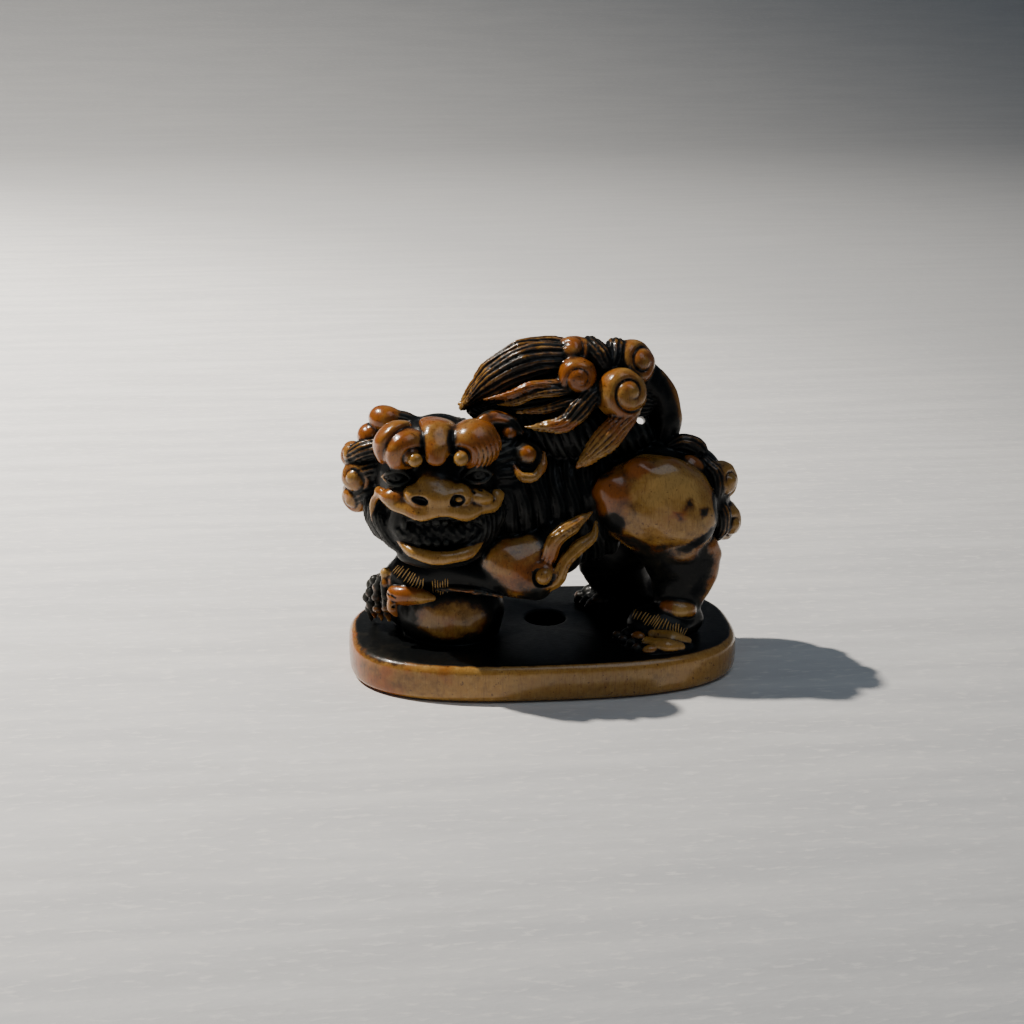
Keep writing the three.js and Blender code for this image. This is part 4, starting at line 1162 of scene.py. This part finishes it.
def stained_boxwood():
    material = bpy.data.materials.new("stained_boxwood")
    web = Web(material)
    kept = web.add("ShaderNodeAttribute", attribute_name="wear")
    split = web.add("ShaderNodeSeparateColor")
    web.plug(kept.outputs["Color"], split.inputs["Color"])
    rubbed, warmth, proud = split.outputs
    bulk = kept.outputs["Alpha"]
    blotch = web.noise(0.32 * PER_METRE, 4.0, 0.6)
    mottle = web.noise(1.1 * PER_METRE, 4.0, 0.65)
    speck = web.noise(1.7 * PER_METRE, 3.0, 0.55)

    score = rubbed
    for value, weight in ((proud, 2.2), (bulk, 1.2), (mottle, 0.9), (blotch, 0.8)):
        score = web.scaled(web.centred(value), weight, score)
    mask = web.ramp(score, 0.44, 0.76)               # stain or wood
    edge = web.ramp(score, 0.5, 1.12)                # deeper and redder where the rubbing stopped
    warm_here = web.scaled(web.centred(blotch), 2.2, warmth)

    pale = web.math("MAXIMUM", web.ramp(speck, 0.42, 0.75, 0.0, 0.5), web.ramp(warm_here, 0.1, -0.5))
    wood = web.mix(pale, WOOD_OCHRE, WOOD_PALE)
    wood = web.mix(web.ramp(warm_here, 0.25, 0.9), wood, WOOD_ORANGE)
    wood = web.mix(edge, WOOD_RED, wood)
    stain = web.mix(web.ramp(score, 0.1, 0.6), STAIN, STAIN_BROWN)
    scratches = web.noise(5.0 * PER_METRE, 4.0, 0.75, web.stretched((0.2, 1.0, 0.7)))
    stain = web.mix(web.times(web.ramp(scratches, 0.58, 0.72), 0.25), stain, STAIN_DUST_AND_SHEEN)
    # The proud ridges of the stain are greyed: painted sheen, for the glints on the polished hair.
    stain = web.mix(web.ramp(proud, 0.515, 0.64, 0.0, 0.55), stain, STAIN_DUST_AND_SHEEN)
    colour = web.mix(mask, stain, wood)
    pits = web.ramp(web.noise(2.6 * PER_METRE, 3.0, 0.6), 0.62, 0.70)
    colour = web.mix(web.times(pits, web.times(mask, 0.75)), colour, WOOD_RED)

    grain = web.noise(6.5 * PER_METRE, 3.0, 0.6, web.stretched((1.0, 1.0, 0.1)))
    grain_shown = web.times(web.ramp(grain, 0.45, 0.75), web.times(mask, 0.38))
    colour = web.mix(grain_shown, colour, WOOD_RED)
    web.plug(colour, web.shader.inputs["Base Color"])
    rough = web.scaled(speck, 0.2, web.scaled(mask, -0.12, 0.24))
    web.plug(rough, web.shader.inputs["Roughness"])
    web.plug(web.scaled(mask, 0.22, 0.12), web.shader.inputs["Specular IOR Level"])
    web.plug(web.scaled(mask, 0.32, 0.06), web.shader.inputs["Coat Weight"])
    web.shader.inputs["Coat Roughness"].default_value = 0.07
    normal = web.bump(web.noise(2.2 * PER_METRE, 4.0, 0.6), 0.04 * MM, 0.5)
    normal = web.bump(scratches, 0.02 * MM, 0.6, normal)
    normal = web.bump(grain, 0.012 * MM, 0.5, normal)
    web.plug(normal, web.shader.inputs["Normal"])
    return material


boxwood = stained_boxwood()
for piece in (netsuke, hairs):
    piece.data.materials.append(boxwood)
    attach(piece, "root")
    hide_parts("netsuke")

# %% [markdown]
# ## Table, light and camera
# The netsuke stands on a board painted white, with faint strokes and grains of paint along it. Its
# colour is darkened toward its far right as painted shade, where the light falls off. A small warm
# sun stands to the left and a little behind, and throws one shadow to the right and forward. A cool
# window above the front right fills the near side. A long lens looks down a little on the near side.

# %% Table
def table():
    """A flat board that curves up far behind the piece."""
    bend, radius, angles = 0.5, 0.3, np.linspace(0.12, 1.5, 12)
    flat = np.linspace(-0.3, bend, 14)
    depth = np.concatenate([flat, bend + radius * np.sin(angles)])
    height = np.concatenate([0 * flat, radius * (1 - np.cos(angles))])
    across = np.linspace(-0.6, 0.6, 9)
    points = [(x, y, z) for y, z in zip(depth, height) for x in across]
    wide = len(across)
    faces = [(r * wide + c, r * wide + c + 1, (r + 1) * wide + c + 1, (r + 1) * wide + c)
             for r in range(len(depth) - 1) for c in range(wide - 1)]
    mesh = bpy.data.meshes.new("table")
    mesh.from_pydata(points, [], faces)
    mesh.shade_smooth()
    board = bpy.data.objects.new("table", mesh)
    bpy.context.collection.objects.link(board)
    return board


def painted_board():
    material = bpy.data.materials.new("painted_board")
    web = Web(material)
    strokes = web.noise(0.25 * PER_METRE, 4.0, 0.55, web.stretched((0.12, 1.0, 1.0)))
    crumbs = web.noise(1.3 * PER_METRE, 4.0, 0.6, web.stretched((0.35, 1.0, 1.0)))
    colour = web.mix(web.ramp(strokes, 0.3, 0.75), (0.70, 0.70, 0.70), (0.84, 0.835, 0.82))
    colour = web.mix(web.times(web.ramp(crumbs, 0.54, 0.66), 0.7), colour, (0.93, 0.91, 0.875))
    # The board is darkened toward its far right: painted shade, where the light falls off.
    split = web.add("ShaderNodeSeparateXYZ")
    web.plug(web.at, split.inputs["Vector"])
    painted_falloff = web.scaled(split.outputs["Y"], 0.8, split.outputs["X"])
    colour = web.mix(web.ramp(painted_falloff, 0.08, 0.25, 0.0, 0.7), colour, (0.40, 0.41, 0.42))
    web.plug(colour, web.shader.inputs["Base Color"])
    web.shader.inputs["Roughness"].default_value = 0.55
    normal = web.bump(crumbs, 0.25 * MM, 0.5)
    web.plug(normal, web.shader.inputs["Normal"])
    return material


board = table()
board.data.materials.append(painted_board())


# %% Light and camera
def aimed(thing, at, target):
    thing.location = at
    thing.rotation_euler = (Vector(target) - Vector(at)).to_track_quat("-Z", "Y").to_euler()


def lamp(name, at, target, size, power, colour):
    data = bpy.data.lights.new(name, "AREA")
    data.shape = "RECTANGLE"
    data.size, data.size_y = size
    data.energy = power
    data.color = colour
    thing = bpy.data.objects.new(name, data)
    bpy.context.collection.objects.link(thing)
    aimed(thing, at, target)


def toward(azimuth, height):
    """The way to a place on the sky: azimuth from straight in front to the right, in degrees."""
    a, h = math.radians(azimuth), math.radians(height)
    return Vector((math.sin(a) * math.cos(h), -math.cos(a) * math.cos(h), math.sin(h)))


MIDDLE = Vector((-0.003, 0.0, 0.016))                 # of the piece, in metres
SUN_REACH = 0.5
SUN_AIM = (-0.24, 0.22, 0.0)                          # left and behind: the beam fades to the right
VIEW_TARGET = Vector((-3.08, 0.0, 15.98)) * MM
VIEW_REACH = 200.0 * MM

beam = bpy.data.lights.new("low sun", "SPOT")
beam.spot_size, beam.spot_blend, beam.shadow_soft_size = math.radians(112), 1.0, 0.008
beam.energy, beam.color = 33.0, (1.0, 0.93, 0.84)
sun = bpy.data.objects.new("low sun", beam)
bpy.context.collection.objects.link(sun)
aimed(sun, MIDDLE + SUN_REACH * toward(-113, 55), SUN_AIM)
lamp("window", (0.22, -0.22, 0.62), MIDDLE, (0.35, 0.45), 0.62, (0.82, 0.91, 1.0))

world = bpy.data.worlds.new("room")
bpy.context.scene.world = world
world.use_nodes = True
sky = world.node_tree.nodes["Background"].inputs
sky["Color"].default_value = (0.60, 0.72, 0.88, 1.0)
sky["Strength"].default_value = 0.1

camera = bpy.data.objects.new("camera", bpy.data.cameras.new("camera"))
camera.data.sensor_width = 36.0
camera.data.lens = 68.8
camera.data.clip_start = 0.01
bpy.context.collection.objects.link(camera)
aimed(camera, VIEW_TARGET + VIEW_REACH * toward(-5.5, 16.5), VIEW_TARGET)
bpy.context.scene.camera = camera
